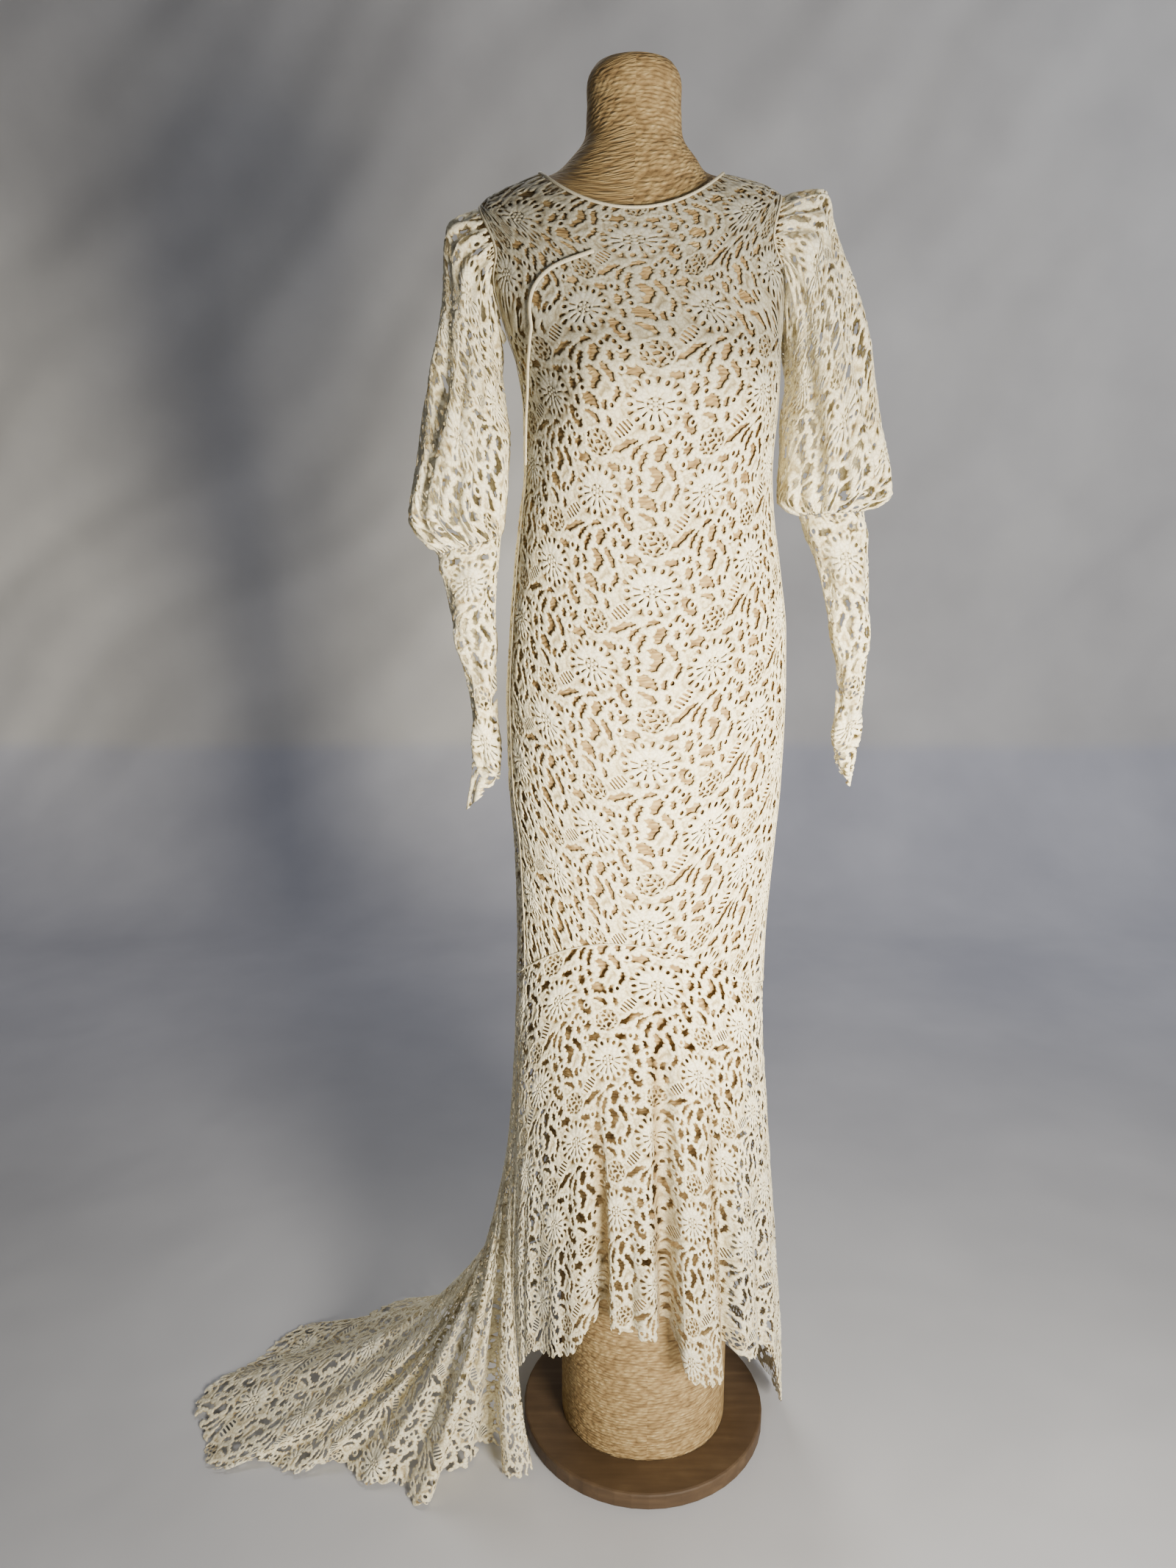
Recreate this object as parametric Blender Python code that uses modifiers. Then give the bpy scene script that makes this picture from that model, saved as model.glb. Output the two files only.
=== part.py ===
"""A long-sleeved floral lace dress with a train, standing on a limbless dress form.

Metres, +Z up. The origin is the centre of the round base's underside, the front faces -Y and
the train is swept to -X. An angle round the figure is 0 at the front and grows towards +X.
A depth is the way down the cloth from the neckline; below the underarm it is plain height.
"""

import math

import bpy
import numpy as np
from mathutils import Vector
from mathutils.geometry import delaunay_2d_cdt

# Cloth and seams
WALL = 0.0015
SEAM = 0.0003
HUNG_SEAM = 0.0007
FIGURE_GAP = 0.009
YOKE_GAP = 0.0035
SHOULDER_GAP = 0.0008

# The stand
BASE_RADIUS = 0.1706
BASE_THICK = 0.0238
BASE_BEVEL = 0.003
BASE_SIDES = 48
FIGURE_SIDES = 32

# Landmarks on the figure
UNDERARM_Z = 1.46
YOKE_DEPTH = 0.16
SHOULDER_DEPTH = 0.055
ARMHOLE_TURN = 30.0
BODY_TURN = 8.5
# Angle from the middle, half its spread, height, half its height, swell
BUST = (31.0, 17.0, 1.372, 0.058, 0.013)
SEAT = (24.0, 24.0, 0.985, 0.090, 0.008)
# Centre, half width, front depth, back depth, height, how far the front and the back dip
NECKLINE = (-0.0295, 0.1055, 0.098, 0.074, 1.636, 0.063, 0.004)
SHOULDER = (-0.0335, 0.1885, 0.108, 0.088, 1.613, 0.088, 0.055)
SHOULDER_TILT = 0.008
SHOULDER_PULL = 2.6
# The side seam at the underarm, and how far forward it creeps by the waist and again by the knee
SIDE_CREEP_RIGHT = 14.0
SIDE_CREEP_LEFT = 16.0
SIDE_FALL_LEFT = 8.0
# The knee seam: its height at the sides, its rise in the middle, and the arch's turn
KNEE_SIDE = 0.672
KNEE_RISE = 0.078
KNEE_TURN = 10.0
# The front flounce, from its left side seam to its right one, in degrees
FLOUNCE_LEFT = -66.0
FLOUNCE_RIGHT = 76.0

# The lace's repeat and its largest gap beside each flower
REPEAT_WIDE = 0.116
REPEAT_DEEP = 0.095
GAP_AT = (0.034, 0.022)
GAP_LONG = 0.014
GAP_SLIM = 0.0055
GAP_TURN = 62.0
GAP_MARGIN = 0.007
GAP_CORNERS = 6
GAP_CLEAR = 1.35

LACE = (0.86, 0.80, 0.66)
BINDING = (0.90, 0.85, 0.72)
JUTE = (0.56, 0.39, 0.19)
WOOD = (0.21, 0.12, 0.06)

# Cloth sections below the underarm: height, left and right reach, front and back depth
SECTIONS = (
    (1.460, -0.172, 0.1470, 0.116, 0.104),
    (1.430, -0.162, 0.1460, 0.124, 0.100),
    (1.379, -0.156, 0.1440, 0.128, 0.096),
    (1.312, -0.156, 0.1410, 0.116, 0.092),
    (1.261, -0.162, 0.1450, 0.108, 0.090),
    (1.191, -0.170, 0.1560, 0.106, 0.092),
    (1.120, -0.176, 0.1650, 0.110, 0.102),
    (1.028, -0.181, 0.1670, 0.116, 0.116),
    (0.934, -0.180, 0.1650, 0.116, 0.118),
    (0.857, -0.174, 0.1600, 0.112, 0.112),
    (0.738, -0.172, 0.1530, 0.106, 0.104),
    (0.656, -0.174, 0.1520, 0.112, 0.104),
    (0.572, -0.178, 0.1540, 0.124, 0.108),
    (0.485, -0.185, 0.1600, 0.139, 0.114),
    (0.375, -0.193, 0.1700, 0.156, 0.120),
    (0.250, -0.198, 0.1820, 0.168, 0.130),
    (0.150, -0.196, 0.1900, 0.172, 0.140),
    (0.000, -0.192, 0.2000, 0.172, 0.140),
)

# The figure below the knees, where it is a column
COLUMN = (
    (0.660, -0.156, 0.1420, 0.097, 0.096),
    (0.560, -0.147, 0.1380, 0.098, 0.098),
    (0.440, -0.134, 0.1270, 0.104, 0.106),
    (0.300, -0.121, 0.1180, 0.111, 0.113),
    (0.150, -0.116, 0.1160, 0.116, 0.116),
    (0.0241, -0.116, 0.1160, 0.116, 0.116),
)

# The figure above the neckline: height, left and right reach, depths, and how far the front dips
NECK = (
    (1.745, -0.066, 0.012, 0.039, 0.039, 0.000),
    (1.743, -0.072, 0.018, 0.045, 0.045, 0.000),
    (1.737, -0.0765, 0.0225, 0.049, 0.049, 0.000),
    (1.700, -0.080, 0.026, 0.052, 0.052, 0.000),
    (1.668, -0.084, 0.030, 0.056, 0.056, 0.004),
    (1.650, -0.099, 0.044, 0.066, 0.064, 0.014),
    (1.636, -0.116, 0.056, 0.080, 0.066, 0.034),
)

# Folds in the front flounce: angle, half width in degrees, depth, where it starts down the panel
FRONT_FOLDS = (
    (9.0, 3.4, 0.038, 0.05),
    (-17.0, 3.0, 0.032, 0.42),
    (-3.5, 2.4, 0.014, 0.62),
    (37.0, 3.2, 0.032, 0.28),
    (58.0, 4.0, 0.014, 0.45),
    (-44.0, 4.5, 0.010, 0.45),
)

# The front hem: angle, height
FRONT_HEM = (
    (-66.0, 0.150),
    (-61.0, 0.160),
    (-52.0, 0.185),
    (-40.0, 0.196),
    (-27.0, 0.218),
    (-17.0, 0.262),
    (0.0, 0.248),
    (9.0, 0.238),
    (16.0, 0.184),
    (30.0, 0.172),
    (37.0, 0.205),
    (44.0, 0.186),
    (58.0, 0.180),
    (70.0, 0.100),
    (76.0, 0.050),
)

# The two side seams of the flounce: height, left x and y, right x and y
SIDE_SEAMS = (
    (0.720, -0.1580, -0.0450, 0.1480, -0.0270),
    (0.500, -0.1690, -0.0610, 0.1580, -0.0360),
    (0.300, -0.1770, -0.0780, 0.1760, -0.0420),
    (0.150, -0.1720, -0.0920, 0.1890, -0.0450),
    (0.050, -0.1700, -0.0940, 0.1930, -0.0460),
)

# The train: way round from the left seam to the right, angle at the knee seam, and the hem's place
TRAIN = (
    (0.000, -66.0, -0.1720, -0.0920, 0.1500),
    (0.030, -67.5, -0.1740, -0.1030, 0.0800),
    (0.060, -70.0, -0.1540, -0.1140, 0.0080),
    (0.095, -73.0, -0.1900, -0.1080, 0.0017),
    (0.130, -78.0, -0.2180, -0.0800, 0.0017),
    (0.180, -84.0, -0.2620, -0.1150, 0.0017),
    (0.240, -92.0, -0.3000, -0.1500, 0.0017),
    (0.330, -104.0, -0.3950, -0.1200, 0.0040),
    (0.410, -116.0, -0.5000, -0.1050, 0.0040),
    (0.480, -128.0, -0.5950, -0.0900, 0.0040),
    (0.530, -138.0, -0.6480, -0.0100, 0.0040),
    (0.570, -147.0, -0.6200, 0.0850, 0.0017),
    (0.640, -162.0, -0.5000, 0.1750, 0.0017),
    (0.720, -182.0, -0.3400, 0.2350, 0.0017),
    (0.800, -204.0, -0.1600, 0.2650, 0.0017),
    (0.880, -230.0, 0.0200, 0.2500, 0.0017),
    (0.950, -258.0, 0.1500, 0.1600, 0.0017),
    (0.985, -276.0, 0.2000, 0.0300, 0.0050),
    (1.000, -284.0, 0.1930, -0.0460, 0.0500),
)
TRAIN_KNEE_PULL = 0.20
TRAIN_HEM_PULL = 0.66
TRAIN_HEM_LIFT = 0.06
TRAIN_FLARE = 1.05
TRAIN_CLEAR = 0.215
# Where the hem lies close to the figure the cloth falls straight: that reach, and the lifts it adds
TRAIN_NEAR = (0.45, 0.08)
TRAIN_NEAR_KNEE = 0.22
TRAIN_NEAR_HEM = 0.16
# Folds that fan out over the train: how many, how deep, and their start
TRAIN_FOLDS = ((13, 0.011, 1.0), (5, 0.006, 0.0))

# The curved raised seam over the left bust: angle, depth
BUST_SEAM = (
    (-13.0, 0.070),
    (-30.0, 0.100),
    (-46.0, 0.145),
    (-62.0, 0.200),
    (-69.0, 0.255),
    (-71.0, 0.305),
)
BUST_SEAM_WIDE = 0.005
BUST_SEAM_LIFT = 0.0010
BUST_SEAM_LONG = 0.3
BINDING_RADIUS = 0.0016
BINDING_POINTS = 48

# Sleeves: way down, outer x and z, inner x and z, half the depth front to back
PUFF_RIGHT = (
    (0.00, 0.1480, 1.606, 0.1485, 1.464, 0.050),
    (0.10, 0.1900, 1.617, 0.1510, 1.452, 0.058),
    (0.18, 0.2000, 1.590, 0.1520, 1.440, 0.062),
    (0.35, 0.2260, 1.530, 0.1525, 1.415, 0.070),
    (0.52, 0.2460, 1.461, 0.1525, 1.385, 0.076),
    (0.70, 0.2660, 1.379, 0.1520, 1.345, 0.082),
    (0.84, 0.2840, 1.315, 0.1500, 1.300, 0.082),
    (0.92, 0.2880, 1.287, 0.1510, 1.278, 0.072),
    (1.00, 0.2540, 1.264, 0.1760, 1.259, 0.040),
)
CUFF_RIGHT = (
    (0.00, 0.2540, 1.264, 0.1760, 1.259, 0.040),
    (0.25, 0.2660, 1.170, 0.2080, 1.173, 0.027),
    (0.55, 0.2670, 1.060, 0.2300, 1.065, 0.020),
    (0.80, 0.2620, 0.985, 0.2310, 0.985, 0.016),
    (1.00, 0.2560, 0.925, 0.2330, 0.955, 0.013),
)
PUFF_LEFT = (
    (0.00, -0.2120, 1.598, -0.1750, 1.464, 0.050),
    (0.08, -0.2420, 1.580, -0.1790, 1.452, 0.056),
    (0.20, -0.2460, 1.525, -0.1790, 1.430, 0.062),
    (0.40, -0.2560, 1.463, -0.1750, 1.395, 0.068),
    (0.60, -0.2700, 1.396, -0.1730, 1.350, 0.075),
    (0.78, -0.2860, 1.315, -0.1740, 1.300, 0.078),
    (0.90, -0.2970, 1.255, -0.1790, 1.262, 0.072),
    (1.00, -0.2620, 1.213, -0.1840, 1.233, 0.038),
)
CUFF_LEFT = (
    (0.00, -0.2620, 1.213, -0.1840, 1.233, 0.038),
    (0.35, -0.2440, 1.120, -0.1920, 1.130, 0.026),
    (0.70, -0.2240, 1.005, -0.1910, 1.010, 0.018),
    (0.88, -0.2260, 0.950, -0.1890, 0.945, 0.015),
    (1.00, -0.2360, 0.895, -0.1900, 0.935, 0.012),
)
PUFF_OFF = 0.0009
PUFF_DRAWN = 0.012
PUFF_MIDDLE_Z = 1.53
# Folds down a puff: place round the half, half width, depth as a share, start and end down it
PUFF_FOLDS = (
    (0.10, 0.050, 0.10, 0.00, 1.00),
    (0.30, 0.060, 0.16, 0.03, 1.00),
    (0.50, 0.050, 0.10, 0.30, 1.00),
    (0.70, 0.060, 0.12, 0.10, 1.00),
)

# The net of each piece: steps across a half of the panels, and down them from the neckline
PANEL_ACROSS = (0.2, 0.4, 0.58, 0.73, 0.86, 0.95, 1.0)
YOKE_DOWN = (0.0, 0.02, 0.04, 0.06, 0.085, 0.11, 0.135)
PANEL_TOP = 24
ARMHOLE_STEPS = 8
PANEL_DOWN = 13
FLOUNCE_ACROSS = 22
FLOUNCE_DOWN = 9
FOLD_STEP = 0.03
TRAIN_ACROSS = 39
TRAIN_DOWN = 12
# The train's gores, as steps round it from the left seam
TRAIN_GORES = (("train_side", 0, 5), ("train_sweep", 5, 16), ("train_tip", 16, 22),
               ("train_fall", 22, 31), ("train_back", 31, 39))
PUFF_NET = (10, 9)
CUFF_NET = (8, 5)
# The figure's rings, as depths below the neckline
FIGURE_DEPTHS = (
    0.006, 0.022, 0.04, 0.055, 0.07, 0.085, 0.10, 0.12, 0.14, 0.16,
    0.195, 0.245, 0.30, 0.36, 0.43, 0.50, 0.59, 0.68, 0.76, 0.84,
)


def smooth(table, column, at):
    """A table's column, read along its first column as a curve that doesn't overshoot."""
    rows = sorted(table)
    x = np.array([row[0] for row in rows])
    y = np.array([row[column] for row in rows])
    step = np.diff(x)
    slope = np.diff(y) / step
    tangent = np.empty(len(x))
    tangent[0], tangent[-1] = slope[0], slope[-1]
    turns = slope[:-1] * slope[1:] <= 0
    mean = 2 * slope[:-1] * slope[1:] / np.where(turns, 1, slope[:-1] + slope[1:])
    tangent[1:-1] = np.where(turns, 0, mean)
    at = np.clip(np.asarray(at, float), x[0], x[-1])
    i = np.clip(np.searchsorted(x, at) - 1, 0, len(step) - 1)
    h = step[i]
    f = (at - x[i]) / h
    start = y[i] * (1 + 2 * f) * (1 - f) ** 2 + tangent[i] * h * f * (1 - f) ** 2
    return start + y[i + 1] * f * f * (3 - 2 * f) + tangent[i + 1] * h * f * f * (f - 1)


def ease(low, high, at):
    """0 below low, 1 above high, and a soft step between them."""
    f = np.clip((at - low) / (high - low), 0, 1)
    return f * f * (3 - 2 * f)


def bell(at, centre, half):
    """A smooth hump of height 1."""
    return np.exp(-(((at - centre) / half) ** 2))


def squared(value, power):
    """A power that keeps the sign, which squares a round section a little."""
    return np.sign(value) * np.abs(value) ** power


def section(table, angle, height):
    """A point on the section of a table at a height, front and back depths being unlike."""
    turn = np.radians(angle)
    left, right, front, back = (smooth(table, i, height) for i in (1, 2, 3, 4))
    side, ahead = squared(np.sin(turn), 0.92), squared(np.cos(turn), 0.92)
    depth = np.where(ahead > 0, front, back)
    return np.stack([(left + right) / 2 + (right - left) / 2 * side, -depth * ahead, height], -1)


def dipped_ring(row, angle, power, roundness, sag):
    """A ring that dips at the front and the back; the powers shape its sides, depth and dips."""
    centre, half, front_deep, back_deep, height, front_dip, back_dip = row
    turn = np.radians(angle)
    ahead = np.cos(turn)
    front, back = np.maximum(ahead, 0), np.maximum(-ahead, 0)
    x = centre + half * squared(np.sin(turn), power)
    y = back_deep * back**roundness - front_deep * front**roundness
    return np.stack([x, y, height - front_dip * front ** sag[0] - back_dip * back ** sag[1]], -1)


def yoke(angle, fraction):
    """The shoulders, from the neckline at fraction 0 to the underarm at 1."""
    side = np.sin(np.radians(angle))
    neck = dipped_ring(NECKLINE, angle, 1.0, 1.0, (1.6, 1.0))
    shoulder = dipped_ring(SHOULDER, angle, 0.8, 0.9, (1.5, 1.5))
    shoulder[..., 2] += SHOULDER_TILT * side
    low = section(SECTIONS, angle, np.full(np.shape(angle), UNDERARM_Z))
    pull = (1 + SHOULDER_PULL * side**6)[..., None]
    f = np.asarray(fraction)[..., None]
    a, b, c = (1 - f) ** 2, 2 * f * (1 - f) * pull, f * f
    return (a * neck + b * shoulder + c * low) / (a + b + c)


def swell(row, middle, angle, height):
    """How far a pair of rounded parts stands out, one either side of a middle angle."""
    away, half, at, half_height, size = row
    from_middle = (angle - middle + 180) % 360 - 180
    pair = bell(from_middle, -away, half) + bell(from_middle, away, half)
    return size * pair * bell(height, at, half_height)


def torso(angle, depth):
    """The cloth's outer side over the figure, from the neckline down."""
    angle, depth = np.broadcast_arrays(np.asarray(angle, float), np.asarray(depth, float))
    height = UNDERARM_Z + YOKE_DEPTH - depth
    above = yoke(angle, np.clip(depth / YOKE_DEPTH, 0, 1))
    below = section(SECTIONS, angle, np.minimum(height, UNDERARM_Z))
    point = np.where((depth < YOKE_DEPTH)[..., None], above, below)
    full = swell(BUST, BODY_TURN, angle, height) + swell(SEAT, BODY_TURN + 180, angle, height)
    out = np.stack([np.sin(np.radians(angle)), -np.cos(np.radians(angle)), np.zeros(np.shape(angle))], -1)
    return point + out * full[..., None]


def knee_height(angle):
    """The arched seam that the flounce hangs from."""
    across = np.cos(np.radians(np.asarray(angle, float) + KNEE_TURN))
    return KNEE_SIDE + KNEE_RISE * across**2


def knee_depth(angle):
    return UNDERARM_Z + YOKE_DEPTH - knee_height(angle)


def armhole(depth):
    """How far in front of the side the armhole's edge lies, in degrees."""
    f = np.clip((np.asarray(depth, float) - SHOULDER_DEPTH) / (YOKE_DEPTH - SHOULDER_DEPTH), 0, 1)
    return ARMHOLE_TURN * np.sin(np.pi * f) ** 0.75


def side_angle(depth, side):
    """The side seam's angle, which creeps forward below the underarm."""
    creep = ease(YOKE_DEPTH, YOKE_DEPTH + 0.12, depth)
    if side > 0:
        return 90 - creep * SIDE_CREEP_RIGHT
    return 90 - creep * SIDE_CREEP_LEFT - ease(0.5, 0.95, depth) * SIDE_FALL_LEFT


def front_panel(u, v):
    """From the neckline to the arched knee seam, between the side seams."""
    u, v = np.broadcast_arrays(np.asarray(u, float), np.asarray(v, float))
    side = np.where(u < 0.5, -1, 1)
    share = np.abs(2 * u - 1)
    depth = v * knee_depth(0)
    for _ in range(3):
        edge = np.where(side > 0, side_angle(depth, 1), side_angle(depth, -1)) - armhole(depth)
        angle = side * share * edge
        depth = v * knee_depth(angle)
    return torso(angle, depth)


def back_panel(u, v):
    """From the back neckline to the knee seam; u runs from the right side round to the left."""
    u, v = np.broadcast_arrays(np.asarray(u, float), np.asarray(v, float))
    side = np.where(u < 0.5, -1, 1)
    share = np.abs(2 * u - 1)
    depth = v * knee_depth(0)
    for _ in range(3):
        edge = 180 - np.where(side < 0, side_angle(depth, 1), side_angle(depth, -1)) - armhole(depth)
        angle = 180 + side * share * edge
        depth = v * knee_depth(angle)
    return torso(angle, depth)


def flounce_angle(u):
    return FLOUNCE_LEFT + (FLOUNCE_RIGHT - FLOUNCE_LEFT) * np.asarray(u, float)


def flounce_seam(edge, v):
    """The flounce's left side seam at edge 0 and its right one at 1, from the knee down."""
    angle = float(flounce_angle(edge))
    top, low = knee_height(angle), smooth(FRONT_HEM, 1, angle)
    height = top + v * (low - top)
    column = 1 + 2 * edge
    hung = np.stack([smooth(SIDE_SEAMS, column, height), smooth(SIDE_SEAMS, column + 1, height), height], -1)
    knee = torso(angle, knee_depth(angle)) * np.array([1, 1, 0]) + height[..., None] * np.array([0, 0, 1])
    settle = ease(0.0, 0.3, v)[..., None]
    return knee * (1 - settle) + hung * settle


def front_flounce(u, v):
    """Hangs from the knee seam in deep folds, and its edges follow the side seams."""
    u, v = np.broadcast_arrays(np.asarray(u, float), np.asarray(v, float))
    angle = flounce_angle(u)
    top, hem = knee_height(angle), smooth(FRONT_HEM, 1, angle)
    height = top + v * (hem - top)
    point = section(SECTIONS, angle, height)
    fold = sum(
        depth * bell(angle, at, half) * ease(start, 1.0, v) ** 0.8 for at, half, depth, start in FRONT_FOLDS
    )
    turn = np.radians(angle)
    point = point - np.stack([np.sin(turn), -np.cos(turn), np.zeros(turn.shape)], -1) * fold[..., None]
    for edge, near in ((0, ease(0.13, 0.0, u)), (1, ease(0.90, 1.0, u))):
        angle = flounce_angle(np.full(u.shape, float(edge)))
        top, hem = knee_height(angle), smooth(FRONT_HEM, 1, angle)
        there = section(SECTIONS, angle, top + v * (hem - top))
        point = point + (flounce_seam(edge, v) - there) * near[..., None]
    return point


def train_sheet(u, v):
    """The train with no folds: it falls from the knee seam, then sweeps out along the floor."""
    angle = smooth(TRAIN, 1, u)
    knee = torso(angle, knee_depth(angle))
    hem = np.stack([smooth(TRAIN, i, u) for i in (2, 3, 4)], -1)
    reach = np.linalg.norm((hem - knee)[..., :2], axis=-1)
    near = ease(*TRAIN_NEAR, reach)
    first = knee * TRAIN_FLARE
    first[..., 2] = TRAIN_KNEE_PULL + TRAIN_NEAR_KNEE * near
    second = hem + (knee - hem) * TRAIN_HEM_PULL
    away = np.hypot(second[..., 0], second[..., 1])
    second *= (np.maximum(away, TRAIN_CLEAR) / away)[..., None]
    second[..., 2] = TRAIN_HEM_LIFT + TRAIN_NEAR_HEM * near
    t = v[..., None]
    s = 1 - t
    return s**3 * knee + 3 * t * s * s * first + 3 * t * t * s * second + t**3 * hem


def train(u, v):
    """The train, joined to the side seams, with the soft folds that fan out from the knee."""
    u, v = np.broadcast_arrays(np.asarray(u, float), np.asarray(v, float))
    point = train_sheet(u, v)
    hem = np.stack([smooth(TRAIN, i, np.clip(u + d, 0, 1)) for d in (-0.01, 0.01) for i in (2, 3)], -1)
    along = hem[..., 2:] - hem[..., :2]
    along /= np.linalg.norm(along, axis=-1)[..., None]
    inside_edges = ease(0.0, 0.10, u) * ease(1.0, 0.90, u)
    wave = sum(deep * np.sin(2 * np.pi * count * u + start) for count, deep, start in TRAIN_FOLDS)
    wave = wave * inside_edges * ease(0.18, 0.85, v)
    point = point + np.stack([along[..., 1] * -wave, along[..., 0] * wave, np.zeros(u.shape)], -1)
    for edge, near in ((0, ease(0.06, 0.0, u)), (1, ease(0.94, 1.0, u))):
        there = train_sheet(np.full(u.shape, float(edge)), v)
        point = point + (flounce_seam(edge, v) - there) * near[..., None]
    return point


def gore(start, end):
    """One gore of the train, from start to end of the way round."""

    def surface(u, v):
        return train(start + (end - start) * np.asarray(u, float), v)

    return surface


def sleeve_ring(table, v, turn):
    """A point on a sleeve's ring; turn is 0 on the outer side and half a turn on the inner one."""
    outer = np.stack([smooth(table, 1, v), np.zeros(v.shape), smooth(table, 2, v)], -1)
    inner = np.stack([smooth(table, 3, v), np.zeros(v.shape), smooth(table, 4, v)], -1)
    half = smooth(table, 5, v)
    middle = (outer + inner) / 2
    across = (outer - inner) / 2 * np.cos(turn)[..., None]
    ahead = np.stack([np.zeros(v.shape), -half * np.sin(turn), np.zeros(v.shape)], -1)
    return middle, across + ahead


def puff(table, side, face):
    """One half of a puff sleeve; face 1 is the front half and -1 the back."""

    def surface(u, v):
        u, v = np.broadcast_arrays(np.asarray(u, float), np.asarray(v, float))
        turn = np.pi * u * face
        middle, arm = sleeve_ring(table, v, turn)
        depth = SHOULDER_DEPTH + (YOKE_DEPTH - SHOULDER_DEPTH) * u
        at = side * 90 - side * face * armhole(depth)
        rim = torso(at, depth) + np.array([side * PUFF_OFF, 0, 0])
        rim = rim + (np.array([0, 0, PUFF_MIDDLE_Z]) - rim) * np.array([0, PUFF_DRAWN, PUFF_DRAWN])
        start_middle, start_arm = sleeve_ring(table, np.zeros(v.shape), turn)
        fold = np.zeros(v.shape)
        for at_u, half, share, low, high in PUFF_FOLDS:
            run = ease(low - 0.02, low + 0.25, v) * ease(high + 0.02, high - 0.1, v)
            fold += share * bell(u, at_u, half) * run
        point = middle + arm * (1 - fold)[..., None]
        return point + (rim - start_middle - start_arm) * ease(0.14, 0.0, v)[..., None]

    return surface


def cuff(table, face):
    """One half of a fitted lower sleeve, which ends in a point."""

    def surface(u, v):
        u, v = np.broadcast_arrays(np.asarray(u, float), np.asarray(v, float))
        middle, arm = sleeve_ring(table, v, np.pi * u * face)
        return middle + arm

    return surface


def panel_u(angle, middle):
    """Where a flounce's column meets the panel above; the middle is 0 on the front, 180 on the back."""
    left, right = (abs(middle - side_angle(1.0, side)) for side in (-1, 1))
    if middle:
        left, right = right, left
    away = angle - middle
    return 0.5 + 0.5 * np.where(away < 0, away / left, away / right)


def bust_seam(u, v):
    """A narrow tape on the front panel, along the curved seam."""
    u, v = np.broadcast_arrays(np.asarray(u, float), np.asarray(v, float))
    along = tuple((i / (len(BUST_SEAM) - 1), *row) for i, row in enumerate(BUST_SEAM))
    angle, depth = smooth(along, 1, v), smooth(along, 2, v)
    step = 0.01
    ahead = torso(smooth(along, 1, v + step), smooth(along, 2, v + step))
    behind = torso(smooth(along, 1, v - step), smooth(along, 2, v - step))
    path = ahead - behind
    path /= np.linalg.norm(path, axis=-1)[..., None]
    out = outward(torso, angle, depth, 0.5, 0.002)
    across = np.cross(path, out)
    lift = WALL + SEAM + BUST_SEAM_LIFT
    return torso(angle, depth) + across * ((0.5 - u) * BUST_SEAM_WIDE)[..., None] + out * lift


def outward(surface, u, v, step_u=1e-4, step_v=1e-4):
    """The unit normal of a surface whose u runs to the right as seen from outside and v down."""
    over = surface(u + step_u, v) - surface(u - step_u, v)
    down = surface(u, v + step_v) - surface(u, v - step_v)
    normal = np.cross(down, over)
    return normal / np.maximum(np.linalg.norm(normal, axis=-1), 1e-12)[..., None]


class Flat:
    """The piece laid flat as a sector: real widths at its top and hem, and its length at each u."""

    def __init__(self, surface):
        u, v = np.meshgrid(np.linspace(0, 1, 161), np.linspace(0, 1, 81))
        point = surface(u, v)
        width = np.linalg.norm(np.diff(point, axis=1), axis=-1).sum(1)
        self.u, self.v, self.width = u[0], v[:, 0], width
        self.length = np.linalg.norm(np.diff(point, axis=0), axis=-1).sum(0)
        self.mean = self.length.mean()
        slope, top = np.polyfit(v[:, 0], width, 1)
        self.top, self.spread = max(top, 0.02), slope / self.mean

    def to_uv(self, x, y):
        if abs(self.spread) < 0.02:
            u = 0.5 + x / self.top
            return u, y / np.interp(u, self.u, self.length)
        sign = math.copysign(1, self.spread)
        start = self.top / self.spread
        u = 0.5 + np.arctan2(x, sign * (y + start)) / abs(self.spread)
        away = sign * np.hypot(x, y + start) - start
        return u, away / np.interp(u, self.u, self.length)


def gap_outline(flat, x, y):
    """One gap of the lace as (u, v) corners: a leaf of six corners."""
    way = math.radians(GAP_TURN)
    corners = []
    for i in range(GAP_CORNERS):
        a = 2 * math.pi * i / GAP_CORNERS
        long, slim = GAP_LONG * math.cos(a), GAP_SLIM * (math.sin(a) + 0.35 * math.cos(2 * a))
        px = x + long * math.cos(way) - slim * math.sin(way)
        py = y + long * math.sin(way) + slim * math.cos(way)
        corners.append(flat.to_uv(px, py))
    return np.array(corners)


def gaps(flat):
    """The largest gap of each repeat of the lace that lies well inside the piece."""
    reach = int(1.6 / REPEAT_DEEP)
    found = []
    margin = GAP_MARGIN / np.array([max(flat.top, 0.1), flat.mean])
    for row in range(-reach, reach):
        for column in range(-reach, reach):
            x = (column + row % 2 / 2) * REPEAT_WIDE + GAP_AT[0]
            y = (row + 0.5) * REPEAT_DEEP + GAP_AT[1]
            outline = gap_outline(flat, x, y)
            low, high = outline.min(0), outline.max(0)
            if (low > margin).all() and (high < 1 - margin).all():
                found.append(outline)
    return found


def inside(points, outline):
    """Which points lie inside a closed outline."""
    x, y = points[:, 0], points[:, 1]
    hit = np.zeros(len(points), bool)
    for (ax, ay), (bx, by) in zip(outline, np.roll(outline, -1, axis=0)):
        crosses = (ay > y) != (by > y)
        hit ^= crosses & (x < (bx - ax) * (y - ay) / np.where(by == ay, 1, by - ay) + ax)
    return hit


def grown(hole, size):
    """A hole's outline made larger about its middle."""
    return hole.mean(0) + (hole - hole.mean(0)) * size


def clear_run(start, end, holes):
    """Whether the straight line between two points of the net stays off every hole."""
    line = np.linspace(start, end, 9)
    return not any(inside(line, grown(hole, (1 + GAP_CLEAR) / 2)).any() for hole in holes)


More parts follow.
